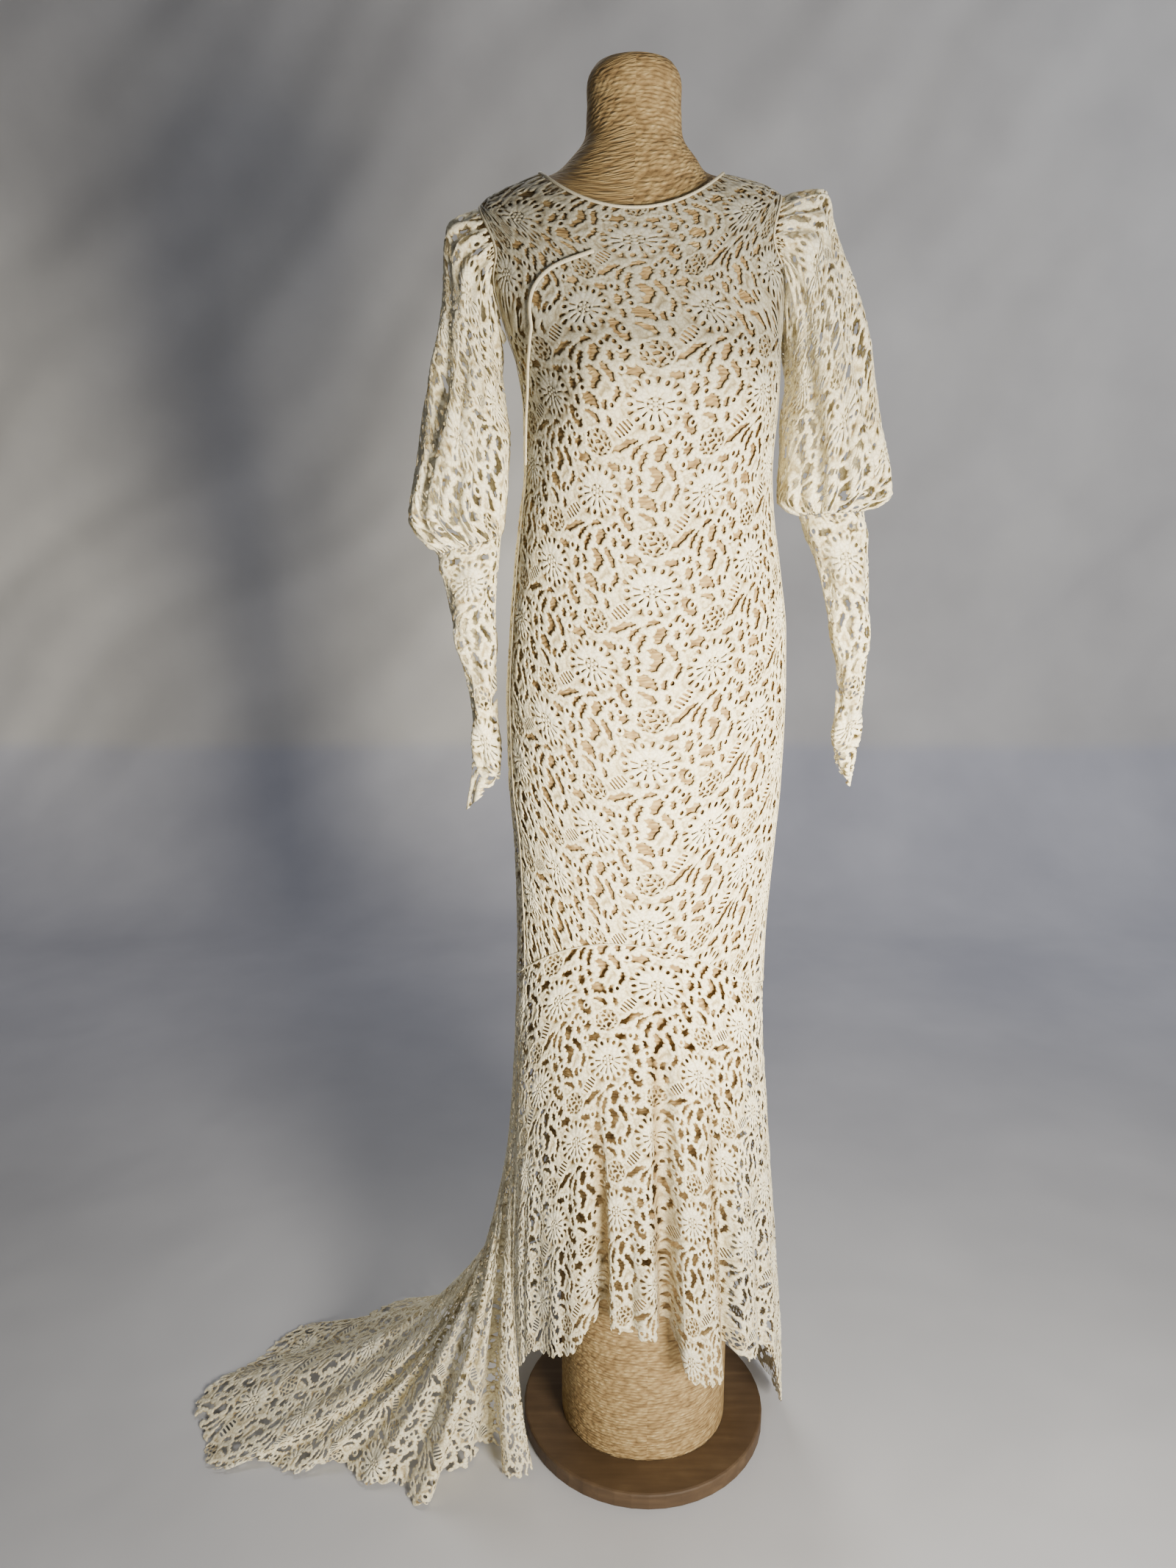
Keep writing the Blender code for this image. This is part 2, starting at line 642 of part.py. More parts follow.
def net(columns, rows, edges, holes, scale):
    """Triangles over the unit square, with its edges sampled as given and the holes left out.

    Each column is kept as an unbroken line of edges where no hole lies on it, so folds stay clean.
    """
    top, bottom, left, right = (edges.get(k) for k in ("top", "bottom", "left", "right"))
    top = columns if top is None else top
    bottom = columns if bottom is None else bottom
    left = rows if left is None else left
    right = rows if right is None else right
    rim = [(u, 0.0) for u in top]
    rim += [(1.0, v) for v in right[1:]]
    rim += [(u, 1.0) for u in bottom[::-1][1:]]
    rim += [(0.0, v) for v in left[::-1][1:-1]]
    points = list(rim)
    lines = [(i, (i + 1) % len(rim)) for i in range(len(rim))]
    for hole in holes:
        first = len(points)
        points += [tuple(p) for p in hole]
        lines += [(first + i, first + (i + 1) % len(hole)) for i in range(len(hole))]
    for u in columns[1:-1]:
        column = np.array([(u, v) for v in rows[1:-1]])
        near = np.zeros(len(column), bool)
        for hole in holes:
            near |= inside(column, grown(hole, GAP_CLEAR))
        run = [tuple(p) for p in column[~near]]
        first = len(points)
        points += run
        path = list(range(first, first + len(run)))
        if any(abs(u - other) < 1e-9 for other in top):
            path.insert(0, int(np.argmin(np.abs(np.array(top) - u))))
        if any(abs(u - other) < 1e-9 for other in bottom):
            path.append(rim.index((bottom[int(np.argmin(np.abs(np.array(bottom) - u)))], 1.0)))
        lines += [(i, j) for i, j in zip(path, path[1:]) if clear_run(points[i], points[j], holes)]
    flat = [Vector((u * scale[0], v * scale[1])) for u, v in points]
    out, _, faces, _, _, _ = delaunay_2d_cdt(flat, lines, [], 0, 1e-7)
    uv = np.array([(p.x / scale[0], p.y / scale[1]) for p in out])
    faces = np.array([f for f in faces if len(f) == 3])
    middle = uv[faces].mean(1)
    solid = np.ones(len(faces), bool)
    for hole in holes:
        solid &= ~inside(middle, hole)
    return uv, faces[solid]


def shell(surface, uv, faces, facing=1, wall=WALL):
    """A closed wall: the surface, the same moved inwards by the wall, and the rims between.

    Facing is 1 where u runs to the right as seen from outside, with v down, and -1 where it runs left.
    """
    normal = outward(surface, uv[:, 0], uv[:, 1]) * facing
    outer = surface(uv[:, 0], uv[:, 1])
    points = np.concatenate([outer, outer - normal * wall])
    count = len(uv)
    faces = faces[:, ::-facing]
    ends = np.concatenate([faces[:, [0, 1]], faces[:, [1, 2]], faces[:, [2, 0]]])
    both = {tuple(e) for e in ends.tolist()}
    rim = [(a, b) for a, b in both if (b, a) not in both]
    quads = [(b, a, a + count, b + count) for a, b in sorted(rim)]
    return points, faces.tolist() + (faces[:, ::-1] + count).tolist() + quads


def material(name, colour, rough):
    """A plain material, made once."""
    made = bpy.data.materials.get(name) or bpy.data.materials.new(name)
    made.use_nodes = True
    shader = made.node_tree.nodes["Principled BSDF"]
    shader.inputs["Base Color"].default_value = (*colour, 1)
    shader.inputs["Roughness"].default_value = rough
    shader.inputs["Metallic"].default_value = 0.0
    made.diffuse_color = (*colour, 1)
    return made


def add(name, points, faces, finish, collection):
    """A named object in the collection, smooth but for its edges."""
    mesh = bpy.data.meshes.new(name)
    mesh.from_pydata([tuple(p) for p in points], [], faces)
    mesh.validate()
    mesh.shade_smooth()
    mesh.set_sharp_from_angle(angle=math.radians(40))
    mesh.materials.append(finish)
    made = bpy.data.objects.new(name, mesh)
    collection.objects.link(made)
    return made


def spaced(count):
    """Even steps from 0 to 1, ends included."""
    return np.linspace(0, 1, count + 1)


def inset(surface, flat, seam):
    """The surface a hair smaller all round, so that two pieces keep the seam's gap between them."""

    def smaller(u, v):
        du = seam / 2 / np.interp(v, flat.v, flat.width)
        dv = seam / 2 / np.interp(u, flat.u, flat.length)
        return surface(du + np.asarray(u) * (1 - 2 * du), dv + np.asarray(v) * (1 - 2 * dv))

    return smaller


def cloth(collection, name, surface, columns, rows, edges, facing, seam=SEAM):
    """One piece of lace: a thin wall with the largest gaps cut through."""
    flat = Flat(surface)
    holes = gaps(flat)
    uv, faces = net(columns, rows, edges, holes, (flat.top + flat.spread * flat.mean / 2, flat.mean))
    points, faces = shell(inset(surface, flat, seam), uv, faces, facing)
    add(name, points, faces, material("lace", LACE, 0.8), collection)
    print(name, len(holes), "gaps cut")


def figure_rings():
    """The dress form's rings from the neck's top to the column's foot."""
    angle = np.arange(FIGURE_SIDES) * 360 / FIGURE_SIDES
    rings = []
    for height, left, right, front, back, dip in NECK:
        row = ((left + right) / 2, (right - left) / 2, front, back, height, dip, 0.0)
        rings.append(dipped_ring(row, angle, 1.0, 1.0, (1.6, 1.0)))
    on_ridge = 1 - ease(0, 25, np.abs(np.abs((angle + 180) % 360 - 180) - 90))
    for depth in FIGURE_DEPTHS:
        at = np.full(angle.shape, depth)
        slack = YOKE_GAP + (FIGURE_GAP - YOKE_GAP) * ease(0.05, 0.15, depth)
        slack = slack - (YOKE_GAP - SHOULDER_GAP) * on_ridge * bell(depth, 0.035, 0.018)
        normal = outward(torso, angle, at, 0.5, 0.0015)
        rings.append(torso(angle, at) - normal * (WALL + slack)[..., None])
    for row in COLUMN:
        rings.append(section(COLUMN, angle, np.full(angle.shape, row[0])))
    return np.array(rings)


def dress_form(collection):
    """One smooth closed body: neck, shoulders, torso and the column below the knees."""
    rings = figure_rings()
    count = FIGURE_SIDES
    points = rings.reshape(-1, 3)
    faces = []
    for k in range(len(rings) - 1):
        for i in range(count):
            a, b = k * count + i, k * count + (i + 1) % count
            faces.append((a, a + count, b + count, b))
    faces.append(tuple(range(count)))
    last = (len(rings) - 1) * count
    faces.append(tuple(last + i for i in reversed(range(count))))
    return add("form_body", points, faces, material("jute", JUTE, 0.9), collection)


def base(collection):
    """The round wooden base."""
    bpy.ops.mesh.primitive_cylinder_add(
        vertices=BASE_SIDES, radius=BASE_RADIUS, depth=BASE_THICK, location=(0, 0, BASE_THICK / 2)
    )
    made = bpy.context.object
    made.name = made.data.name = "form_base"
    made.data.materials.append(material("base_wood", WOOD, 0.6))
    bevel = made.modifiers.new("rounded", "BEVEL")
    bevel.width, bevel.segments, bevel.limit_method = BASE_BEVEL, 2, "ANGLE"
    for other in made.users_collection:
        other.objects.unlink(made)
    collection.objects.link(made)
    return made


def neck_binding(collection):
    """The rolled edge of the neckline, a tube just above the panels' top edges."""
    curve = bpy.data.curves.new("neck_binding", "CURVE")
    curve.dimensions = "3D"
    curve.bevel_depth, curve.bevel_resolution = BINDING_RADIUS, 1
    spline = curve.splines.new("POLY")
    spline.points.add(BINDING_POINTS - 1)
    spline.use_cyclic_u = True
    angle = np.arange(BINDING_POINTS) * 360 / BINDING_POINTS
    edge, below = torso(angle, 0.0), torso(angle, 0.004)
    up = edge - below
    up /= np.linalg.norm(up, axis=-1)[:, None]
    normal = outward(torso, angle, 0.003, 0.5, 0.0015)
    centre = edge + up * (BINDING_RADIUS + SEAM) - normal * BINDING_RADIUS / 4
    for point, place in zip(spline.points, centre):
        point.co = (*place, 1)
    made = bpy.data.objects.new("neck_binding", curve)
    curve.materials.append(material("binding", BINDING, 0.7))
    collection.objects.link(made)
    return made


def body(collection):
    """The two panels and what hangs from their knee seam, sampled alike where they meet."""
    total = float(knee_depth(90.0))
    arm = SHOULDER_DEPTH + (YOKE_DEPTH - SHOULDER_DEPTH) * spaced(ARMHOLE_STEPS)
    below = YOKE_DEPTH + (total - YOKE_DEPTH) * spaced(PANEL_DOWN)
    side = np.concatenate([[0, SHOULDER_DEPTH / 2], arm, below[1:]]) / total
    rows = np.concatenate([np.array(YOKE_DOWN), below]) / total
    half = np.array(PANEL_ACROSS)
    across = np.concatenate([0.5 - half[::-1] / 2, [0.5], 0.5 + half / 2])
    folds = [(row[0] - FLOUNCE_LEFT) / (FLOUNCE_RIGHT - FLOUNCE_LEFT) for row in FRONT_FOLDS]
    by_fold = [fold + step for fold in folds[:4] for step in (-FOLD_STEP, 0, FOLD_STEP)]
    front_u = np.unique(np.round(np.concatenate([spaced(FLOUNCE_ACROSS), by_fold]), 4))
    train_u = spaced(TRAIN_ACROSS)
    sides = {"top": spaced(PANEL_TOP), "left": side, "right": side}
    front_edges = sides | {"bottom": panel_u(flounce_angle(front_u), 0)}
    back_edges = sides | {"bottom": panel_u(smooth(TRAIN, 1, train_u) % 360, 180)[::-1]}
    cloth(collection, "front_panel", front_panel, across, rows, front_edges, 1)
    cloth(collection, "back_panel", back_panel, across, rows, back_edges, 1)
    cloth(collection, "front_flounce", front_flounce, front_u, spaced(FLOUNCE_DOWN), {}, 1, HUNG_SEAM)
    for name, first, last in TRAIN_GORES:
        sheet = gore(train_u[first], train_u[last])
        cloth(collection, name, sheet, spaced(last - first), spaced(TRAIN_DOWN), {}, -1, HUNG_SEAM)


def sleeve(collection, word, side, puffs, cuffs):
    """A puff over the upper arm and a fitted lower sleeve, each in a front and a back half."""
    ends = {"top": spaced(ARMHOLE_STEPS), "bottom": spaced(CUFF_NET[0])}
    for face, half in ((1, "front"), (-1, "back")):
        facing = -side * face
        over, down = (spaced(count) for count in PUFF_NET)
        cloth(collection, f"{word}_puff_{half}", puff(puffs, side, face), over, down, ends, facing)
        over, down = (spaced(count) for count in CUFF_NET)
        cloth(collection, f"{word}_cuff_{half}", cuff(cuffs, face), over, down, {}, facing)


def build():
    """The whole object, in one collection."""
    for old in list(bpy.data.objects):
        bpy.data.objects.remove(old, do_unlink=True)
    collection = bpy.data.collections.new("lace_dress")
    bpy.context.scene.collection.children.link(collection)
    dress_form(collection)
    base(collection)
    neck_binding(collection)
    body(collection)
    sleeve(collection, "right", 1, PUFF_RIGHT, CUFF_RIGHT)
    sleeve(collection, "left", -1, PUFF_LEFT, CUFF_LEFT)
    uv, faces = net(spaced(1), spaced(16), {}, [], (BUST_SEAM_WIDE, BUST_SEAM_LONG))
    points, faces = shell(bust_seam, uv, faces)
    add("bust_seam", points, faces, material("binding", BINDING, 0.7), collection)


build()
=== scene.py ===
"""The looks of a long-sleeved floral lace dress with a train, on a rope-wound limbless dress form.

The garment's surfaces are those of the solids. The lace is one repeat of real holes and relief,
laid flat over each piece and carried onto its surface.
"""

import math

import bpy
import numpy as np
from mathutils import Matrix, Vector
from mathutils.geometry import delaunay_2d_cdt

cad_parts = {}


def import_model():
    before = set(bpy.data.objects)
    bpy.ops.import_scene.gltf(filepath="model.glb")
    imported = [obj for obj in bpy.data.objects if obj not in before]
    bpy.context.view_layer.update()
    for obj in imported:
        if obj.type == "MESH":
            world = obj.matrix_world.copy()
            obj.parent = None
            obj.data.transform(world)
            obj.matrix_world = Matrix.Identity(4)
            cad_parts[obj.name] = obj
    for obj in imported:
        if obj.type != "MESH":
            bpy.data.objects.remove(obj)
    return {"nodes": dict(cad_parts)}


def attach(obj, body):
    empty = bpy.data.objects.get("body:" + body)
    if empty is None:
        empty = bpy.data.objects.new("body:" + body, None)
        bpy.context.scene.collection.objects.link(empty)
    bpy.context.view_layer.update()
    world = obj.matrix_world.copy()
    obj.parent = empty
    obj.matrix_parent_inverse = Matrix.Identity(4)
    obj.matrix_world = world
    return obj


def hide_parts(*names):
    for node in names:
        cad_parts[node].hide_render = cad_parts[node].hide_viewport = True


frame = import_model()

PI = math.pi

# The camera: place in metres, degrees down, focal length and image height in pixels, sensor height
CAMERA_AT = (-0.0786, -1.3537, 1.2180)
CAMERA_PITCH = 12.093
CAMERA_FOCUS = 1480.0
IMAGE_HEIGHT = 2133
SENSOR_HEIGHT = 36.0
# The lights: name, place, aim, size, power, colour, and a cone in degrees where it is a spot
KEY_AT = (0.72, -1.55, 0.80)
KEY_SIZE = 0.55
LIGHTS = (
    ("key", KEY_AT, (0.0, 0.05, 0.95), KEY_SIZE, 66.0, (1.0, 0.93, 0.82), None),
    ("pool", KEY_AT, (0.07, -0.10, 0.93), KEY_SIZE, 365.0, (1.0, 0.90, 0.66), 42.0),
    ("fill", (-1.7, -2.2, 1.7), (0, 0, 0.9), 2.0, 1.5, (0.90, 0.93, 1.0), None),
    ("wash", (2.6, 0.7, 2.9), (1.0, 2.6, 1.0), 1.4, 20.0, (0.95, 0.97, 1.0), None),
    ("behind", (-0.5, 1.9, 3.2), (0.0, 0.0, 0.9), 1.0, 170.0, (1.0, 0.96, 0.90), 50.0),
)
WORLD_COLOUR = (0.86, 0.88, 0.95, 1)
WORLD_POWER = 0.10
# The backdrop: where it hangs, its height, its curve to the floor, half its width, and the floor's length
BACK_AT = 2.75
BACK_RISE = 3.0
BACK_CURVE = 0.8
BACK_HALF = 5.0
BACK_FLOOR = 4.6
BACK_NET = (260, 300)
# Its tones on the floor, low on the cloth and high on it, and the depths and heights where they change
FLOOR_TONES = ((0.46, 0.47, 0.50), (0.53, 0.54, 0.57))
LOW_TONES = ((0.56, 0.58, 0.68), (0.70, 0.72, 0.82))
HIGH_TONES = ((0.66, 0.66, 0.68), (0.80, 0.80, 0.81))
LOW_FROM = (0.1, 1.7)
HIGH_FROM = (0.46, 0.54)
# The form's twine and its strands, and its loose end
TWINE = 0.0042
STRAND = 0.0080
TWINE_END = (
    (-0.021, -0.012, 1.7425),
    (-0.020, -0.013, 1.7460),
    (-0.0185, -0.0135, 1.7505),
    (-0.0165, -0.0132, 1.7530),
)
TWINE_END_RADIUS = 0.0016
# The form's mesh: points round it, steps down it where it is bare and where it is covered, and the heights
# above and below which it is bare
FORM_AROUND = 144
FORM_STEPS = (0.004, 0.012)
FORM_BARE = (1.6, 0.3)
# Trims: the seams' widths and points, the neck's binding, and the cord over the bust
KNEE_SEAM_WIDE = 0.0018
SIDE_SEAM_WIDE = 0.0030
SIDE_SEAM_LIFT = 0.0002
SIDE_SEAM_POINTS = 160
KNEE_SEAM_POINTS = 120
NECK_EDGE_RADIUS = 0.0018
NECK_EDGE_RISE = 0.0014
NECK_EDGE_POINTS = 200
BUST_CORD_RADIUS = 0.0024
BUST_CORD_POINTS = 90
# The lace's relief, and how far it stays off the floor
RELIEF = 0.0018
FLOOR_CLEAR = 0.0006
# Creases of the flounce: place across, drift to the hem, width, depth in metres, and where they start
FLOUNCE_CREASES = (
    (0.33, 0.03, 0.021, 0.005, 0.25),
    (0.50, 0.02, 0.024, 0.004, 0.02),
    (0.66, 0.03, 0.020, 0.005, 0.15),
)
# How much wider the painted shade in the flounce's folds spreads than the folds
PAINTED_CREASE_SHADE_SPREAD = 0.8
# The painted shadow over the lace above the bust: its lower edge in metres at the middle and how far it dips
# to the sides
PAINTED_SHADOW_EDGE = 1.425
PAINTED_SHADOW_DIP = 1.6
# The scallops of the flounce's and the train's hem
SCALLOP = 0.006
SCALLOP_PACE = 0.019
# One repeat of the lace in millimetres, and the grid that its field is read on
WIDE = 116.0
DEEP = 95.0
FIELD_STEP = 0.5
# How finely a repeat is meshed: slack of an edge, longest side, and the space between inner points
NEAR_DETAIL = (0.13, 2.1, 2.4)
FAR_DETAIL = (0.21, 3.0, 3.8)
# How many repeats are tried each way from a piece's top middle
REPEAT_REACH = 16
# The repeat's gaps: how many, the seed of their first places, and their least and most half length and width
GAPS = 21
GAP_SEED = 11
GAP_LONGS = (7.0, 16.5)
GAP_SLIMS = (4.1, 5.5)
# The ribbons between gaps: least width without lobes; a lobe's radius, pace and place out of the gap
RIBBON = 3.0
LOBE = 3.7
LOBE_PACE = 7.0
LOBE_OUT = 1.7
# What the gaps keep clear of, as x, y and radius: the named gap, the flower and the net rosette
NAMED_GAP = (34.0, 22.0, 11.0)
FLOWER = (0.0, 0.0, 27.0)
ROSETTE = (2.0, -50.0, 16.5)
# The named gap's slant in degrees, half its length and half its width
NAMED_GAP_SHAPE = (62.0, 14.8, 6.8)
# Ladders as x, y and slant, and the room that they need; eyelets as x, y and radius
LADDERS = ((56.0, 43.0, -34.0), (-29.0, 27.0, 42.0))
LADDER_ROOM = 7.5
EYELETS = (
    (-28, -33, 5.4), (30, -30, 5.6), (-40, 6, 5.2), (47, -9, 5.6),
    (-31, -60, 5.0), (15, 37, 5.2), (-21, -74, 4.8), (31, 41, 4.6),
)

# The cloth's wall and seams, and the form's clearance under it. The form stands nearer to the cloth than its
# solid does, so that the twine shows close behind the lace.
WALL = 0.0015
SEAM = 0.0003
FIGURE_GAP = 0.0035
YOKE_GAP = 0.0022
SHOULDER_GAP = 0.0008

# Landmarks on the figure
UNDERARM_Z = 1.46
YOKE_DEPTH = 0.16
SHOULDER_DEPTH = 0.055
ARMHOLE_TURN = 30.0
BODY_TURN = 8.5
# Angle from the middle, half its spread, height, half its height, swell
BUST = (31.0, 17.0, 1.372, 0.058, 0.013)
SEAT = (24.0, 24.0, 0.985, 0.090, 0.008)
# Centre, half width, front depth, back depth, height, how far the front and the back dip
NECKLINE = (-0.0295, 0.1055, 0.098, 0.074, 1.636, 0.063, 0.004)
SHOULDER = (-0.0335, 0.1885, 0.108, 0.088, 1.613, 0.088, 0.055)
SHOULDER_TILT = 0.008
SHOULDER_PULL = 2.6
# The side seam at the underarm, and how far forward it creeps by the waist and again by the knee
SIDE_CREEP_RIGHT = 14.0
SIDE_CREEP_LEFT = 16.0
SIDE_FALL_LEFT = 8.0
# The knee seam: its height at the sides, its rise in the middle, and the arch's turn
KNEE_SIDE = 0.672
KNEE_RISE = 0.078
KNEE_TURN = 10.0
# The front flounce, from its left side seam to its right one, in degrees
FLOUNCE_LEFT = -66.0
FLOUNCE_RIGHT = 76.0

# Cloth sections below the underarm: height, left and right reach, front and back depth
SECTIONS = (
    (1.460, -0.172, 0.1470, 0.116, 0.104),
    (1.430, -0.162, 0.1460, 0.124, 0.100),
    (1.379, -0.156, 0.1440, 0.128, 0.096),
    (1.312, -0.156, 0.1410, 0.116, 0.092),
    (1.261, -0.162, 0.1450, 0.108, 0.090),
    (1.191, -0.170, 0.1560, 0.106, 0.092),
    (1.120, -0.176, 0.1650, 0.110, 0.102),
    (1.028, -0.181, 0.1670, 0.116, 0.116),
    (0.934, -0.180, 0.1650, 0.116, 0.118),
    (0.857, -0.174, 0.1600, 0.112, 0.112),
    (0.738, -0.172, 0.1530, 0.106, 0.104),
    (0.656, -0.174, 0.1520, 0.112, 0.104),
    (0.572, -0.178, 0.1540, 0.124, 0.108),
    (0.485, -0.185, 0.1600, 0.139, 0.114),
    (0.375, -0.193, 0.1700, 0.156, 0.120),
    (0.250, -0.198, 0.1820, 0.168, 0.130),
    (0.150, -0.196, 0.1900, 0.172, 0.140),
    (0.000, -0.192, 0.2000, 0.172, 0.140),
)

# The figure below the knees, where it is a column
COLUMN = (
    (0.660, -0.156, 0.1420, 0.097, 0.096),
    (0.560, -0.147, 0.1380, 0.098, 0.098),
    (0.440, -0.134, 0.1270, 0.104, 0.106),
    (0.300, -0.121, 0.1180, 0.111, 0.113),
    (0.150, -0.116, 0.1160, 0.116, 0.116),
    (0.0241, -0.116, 0.1160, 0.116, 0.116),
)

# The figure above the neckline: height, left and right reach, depths, and how far the front dips
NECK = (
    (1.745, -0.066, 0.012, 0.039, 0.039, 0.000),
    (1.743, -0.072, 0.018, 0.045, 0.045, 0.000),
    (1.737, -0.0765, 0.0225, 0.049, 0.049, 0.000),
    (1.700, -0.080, 0.026, 0.052, 0.052, 0.000),
    (1.668, -0.084, 0.030, 0.056, 0.056, 0.004),
    (1.650, -0.099, 0.044, 0.066, 0.064, 0.014),
    (1.636, -0.116, 0.056, 0.080, 0.066, 0.034),
)

# Folds in the front flounce: angle, half width in degrees, depth, where it starts down the panel
FRONT_FOLDS = (
    (9.0, 3.4, 0.038, 0.05),
    (-17.0, 3.0, 0.032, 0.42),
    (-3.5, 2.4, 0.014, 0.62),
    (37.0, 3.2, 0.032, 0.28),
    (58.0, 4.0, 0.014, 0.45),
    (-44.0, 4.5, 0.010, 0.45),
)

# The front hem: angle, height
FRONT_HEM = (
    (-66.0, 0.150),
    (-61.0, 0.160),
    (-52.0, 0.185),
    (-40.0, 0.196),
    (-27.0, 0.218),
    (-17.0, 0.262),
    (0.0, 0.248),
    (9.0, 0.238),
    (16.0, 0.184),
    (30.0, 0.172),
    (37.0, 0.205),
    (44.0, 0.186),
    (58.0, 0.180),
    (70.0, 0.100),
    (76.0, 0.050),
)

# The two side seams of the flounce: height, left x and y, right x and y
SIDE_SEAMS = (
    (0.720, -0.1580, -0.0450, 0.1480, -0.0270),
    (0.500, -0.1690, -0.0610, 0.1580, -0.0360),
    (0.300, -0.1770, -0.0780, 0.1760, -0.0420),
    (0.150, -0.1720, -0.0920, 0.1890, -0.0450),
    (0.050, -0.1700, -0.0940, 0.1930, -0.0460),
)

# The train: way round from the left seam to the right, angle at the knee seam, and the hem's place
TRAIN = (
    (0.000, -66.0, -0.1720, -0.0920, 0.1500),
    (0.030, -67.5, -0.1740, -0.1030, 0.0800),
    (0.060, -70.0, -0.1540, -0.1140, 0.0080),
    (0.095, -73.0, -0.1900, -0.1080, 0.0017),
    (0.130, -78.0, -0.2180, -0.0800, 0.0017),
    (0.180, -84.0, -0.2620, -0.1150, 0.0017),
    (0.240, -92.0, -0.3000, -0.1500, 0.0017),
    (0.330, -104.0, -0.3950, -0.1200, 0.0040),
    (0.410, -116.0, -0.5000, -0.1050, 0.0040),
    (0.480, -128.0, -0.5950, -0.0900, 0.0040),
    (0.530, -138.0, -0.6480, -0.0100, 0.0040),
    (0.570, -147.0, -0.6200, 0.0850, 0.0017),
    (0.640, -162.0, -0.5000, 0.1750, 0.0017),
    (0.720, -182.0, -0.3400, 0.2350, 0.0017),
    (0.800, -204.0, -0.1600, 0.2650, 0.0017),
    (0.880, -230.0, 0.0200, 0.2500, 0.0017),
    (0.950, -258.0, 0.1500, 0.1600, 0.0017),
    (0.985, -276.0, 0.2000, 0.0300, 0.0050),
    (1.000, -284.0, 0.1930, -0.0460, 0.0500),
)
TRAIN_KNEE_PULL = 0.20
TRAIN_HEM_PULL = 0.66
TRAIN_HEM_LIFT = 0.06
TRAIN_FLARE = 1.05
TRAIN_CLEAR = 0.215
# Where the hem lies close to the figure the cloth falls straight: that reach, and the lifts it adds
TRAIN_NEAR = (0.45, 0.08)
TRAIN_NEAR_KNEE = 0.22
TRAIN_NEAR_HEM = 0.16
# Folds that fan out over the train: how many, how deep, and their start
TRAIN_FOLDS = ((13, 0.011, 1.0), (5, 0.006, 0.0))

# The curved raised seam over the left bust: angle, depth
BUST_SEAM = (
    (-13.0, 0.070),
    (-30.0, 0.100),
    (-46.0, 0.145),
    (-62.0, 0.200),
    (-69.0, 0.255),
    (-71.0, 0.305),
)
BUST_SEAM_WIDE = 0.005
BUST_SEAM_LIFT = 0.0010

# Sleeves: way down, outer x and z, inner x and z, half the depth front to back
PUFF_RIGHT = (
    (0.00, 0.1480, 1.606, 0.1485, 1.464, 0.050),
    (0.10, 0.1900, 1.617, 0.1510, 1.452, 0.058),
    (0.18, 0.2000, 1.590, 0.1520, 1.440, 0.062),
    (0.35, 0.2260, 1.530, 0.1525, 1.415, 0.070),
    (0.52, 0.2460, 1.461, 0.1525, 1.385, 0.076),
    (0.70, 0.2660, 1.379, 0.1520, 1.345, 0.082),
    (0.84, 0.2840, 1.315, 0.1500, 1.300, 0.082),
    (0.92, 0.2880, 1.287, 0.1510, 1.278, 0.072),
    (1.00, 0.2540, 1.264, 0.1760, 1.259, 0.040),
)
CUFF_RIGHT = (
    (0.00, 0.2540, 1.264, 0.1760, 1.259, 0.040),
    (0.25, 0.2660, 1.170, 0.2080, 1.173, 0.027),
    (0.55, 0.2670, 1.060, 0.2300, 1.065, 0.020),
    (0.80, 0.2620, 0.985, 0.2310, 0.985, 0.016),
    (1.00, 0.2560, 0.925, 0.2330, 0.955, 0.013),
)
PUFF_LEFT = (
    (0.00, -0.2120, 1.598, -0.1750, 1.464, 0.050),
    (0.08, -0.2420, 1.580, -0.1790, 1.452, 0.056),
    (0.20, -0.2460, 1.525, -0.1790, 1.430, 0.062),
    (0.40, -0.2560, 1.463, -0.1750, 1.395, 0.068),
    (0.60, -0.2700, 1.396, -0.1730, 1.350, 0.075),
    (0.78, -0.2860, 1.315, -0.1740, 1.300, 0.078),
    (0.90, -0.2970, 1.255, -0.1790, 1.262, 0.072),
    (1.00, -0.2620, 1.213, -0.1840, 1.233, 0.038),
)
CUFF_LEFT = (
    (0.00, -0.2620, 1.213, -0.1840, 1.233, 0.038),
    (0.35, -0.2440, 1.120, -0.1920, 1.130, 0.026),
    (0.70, -0.2240, 1.005, -0.1910, 1.010, 0.018),
    (0.88, -0.2260, 0.950, -0.1890, 0.945, 0.015),
    (1.00, -0.2360, 0.895, -0.1900, 0.935, 0.012),
)
PUFF_OFF = 0.0009
PUFF_DRAWN = 0.012
PUFF_MIDDLE_Z = 1.53
# Folds down a puff: place round the half, half width, depth as a share, start and end down it
PUFF_FOLDS = (
    (0.10, 0.050, 0.10, 0.00, 1.00),
    (0.30, 0.060, 0.16, 0.03, 1.00),
    (0.50, 0.050, 0.10, 0.30, 1.00),
    (0.70, 0.060, 0.12, 0.10, 1.00),
)

# The train's gores, as steps round it from the left seam, and the step where the coarser lace starts
TRAIN_ACROSS = 39
TRAIN_GORES = (("train_side", 0, 5), ("train_sweep", 5, 16), ("train_tip", 16, 22),
               ("train_fall", 22, 31), ("train_back", 31, 39))
TRAIN_FAR = 20
# The figure's rings, as depths below the neckline
FIGURE_DEPTHS = (
    0.006, 0.022, 0.04, 0.055, 0.07, 0.085, 0.10, 0.12, 0.14, 0.16,
    0.195, 0.245, 0.30, 0.36, 0.43, 0.50, 0.59, 0.68, 0.76, 0.84,
)


def hermite(low, high, low_slope, high_slope, h, f):
    """A cubic between two values a step h apart, at the fraction f of the step."""
    start = low * (1 + 2 * f) * (1 - f) ** 2 + low_slope * h * f * (1 - f) ** 2
    return start + high * f * f * (3 - 2 * f) + high_slope * h * f * f * (f - 1)


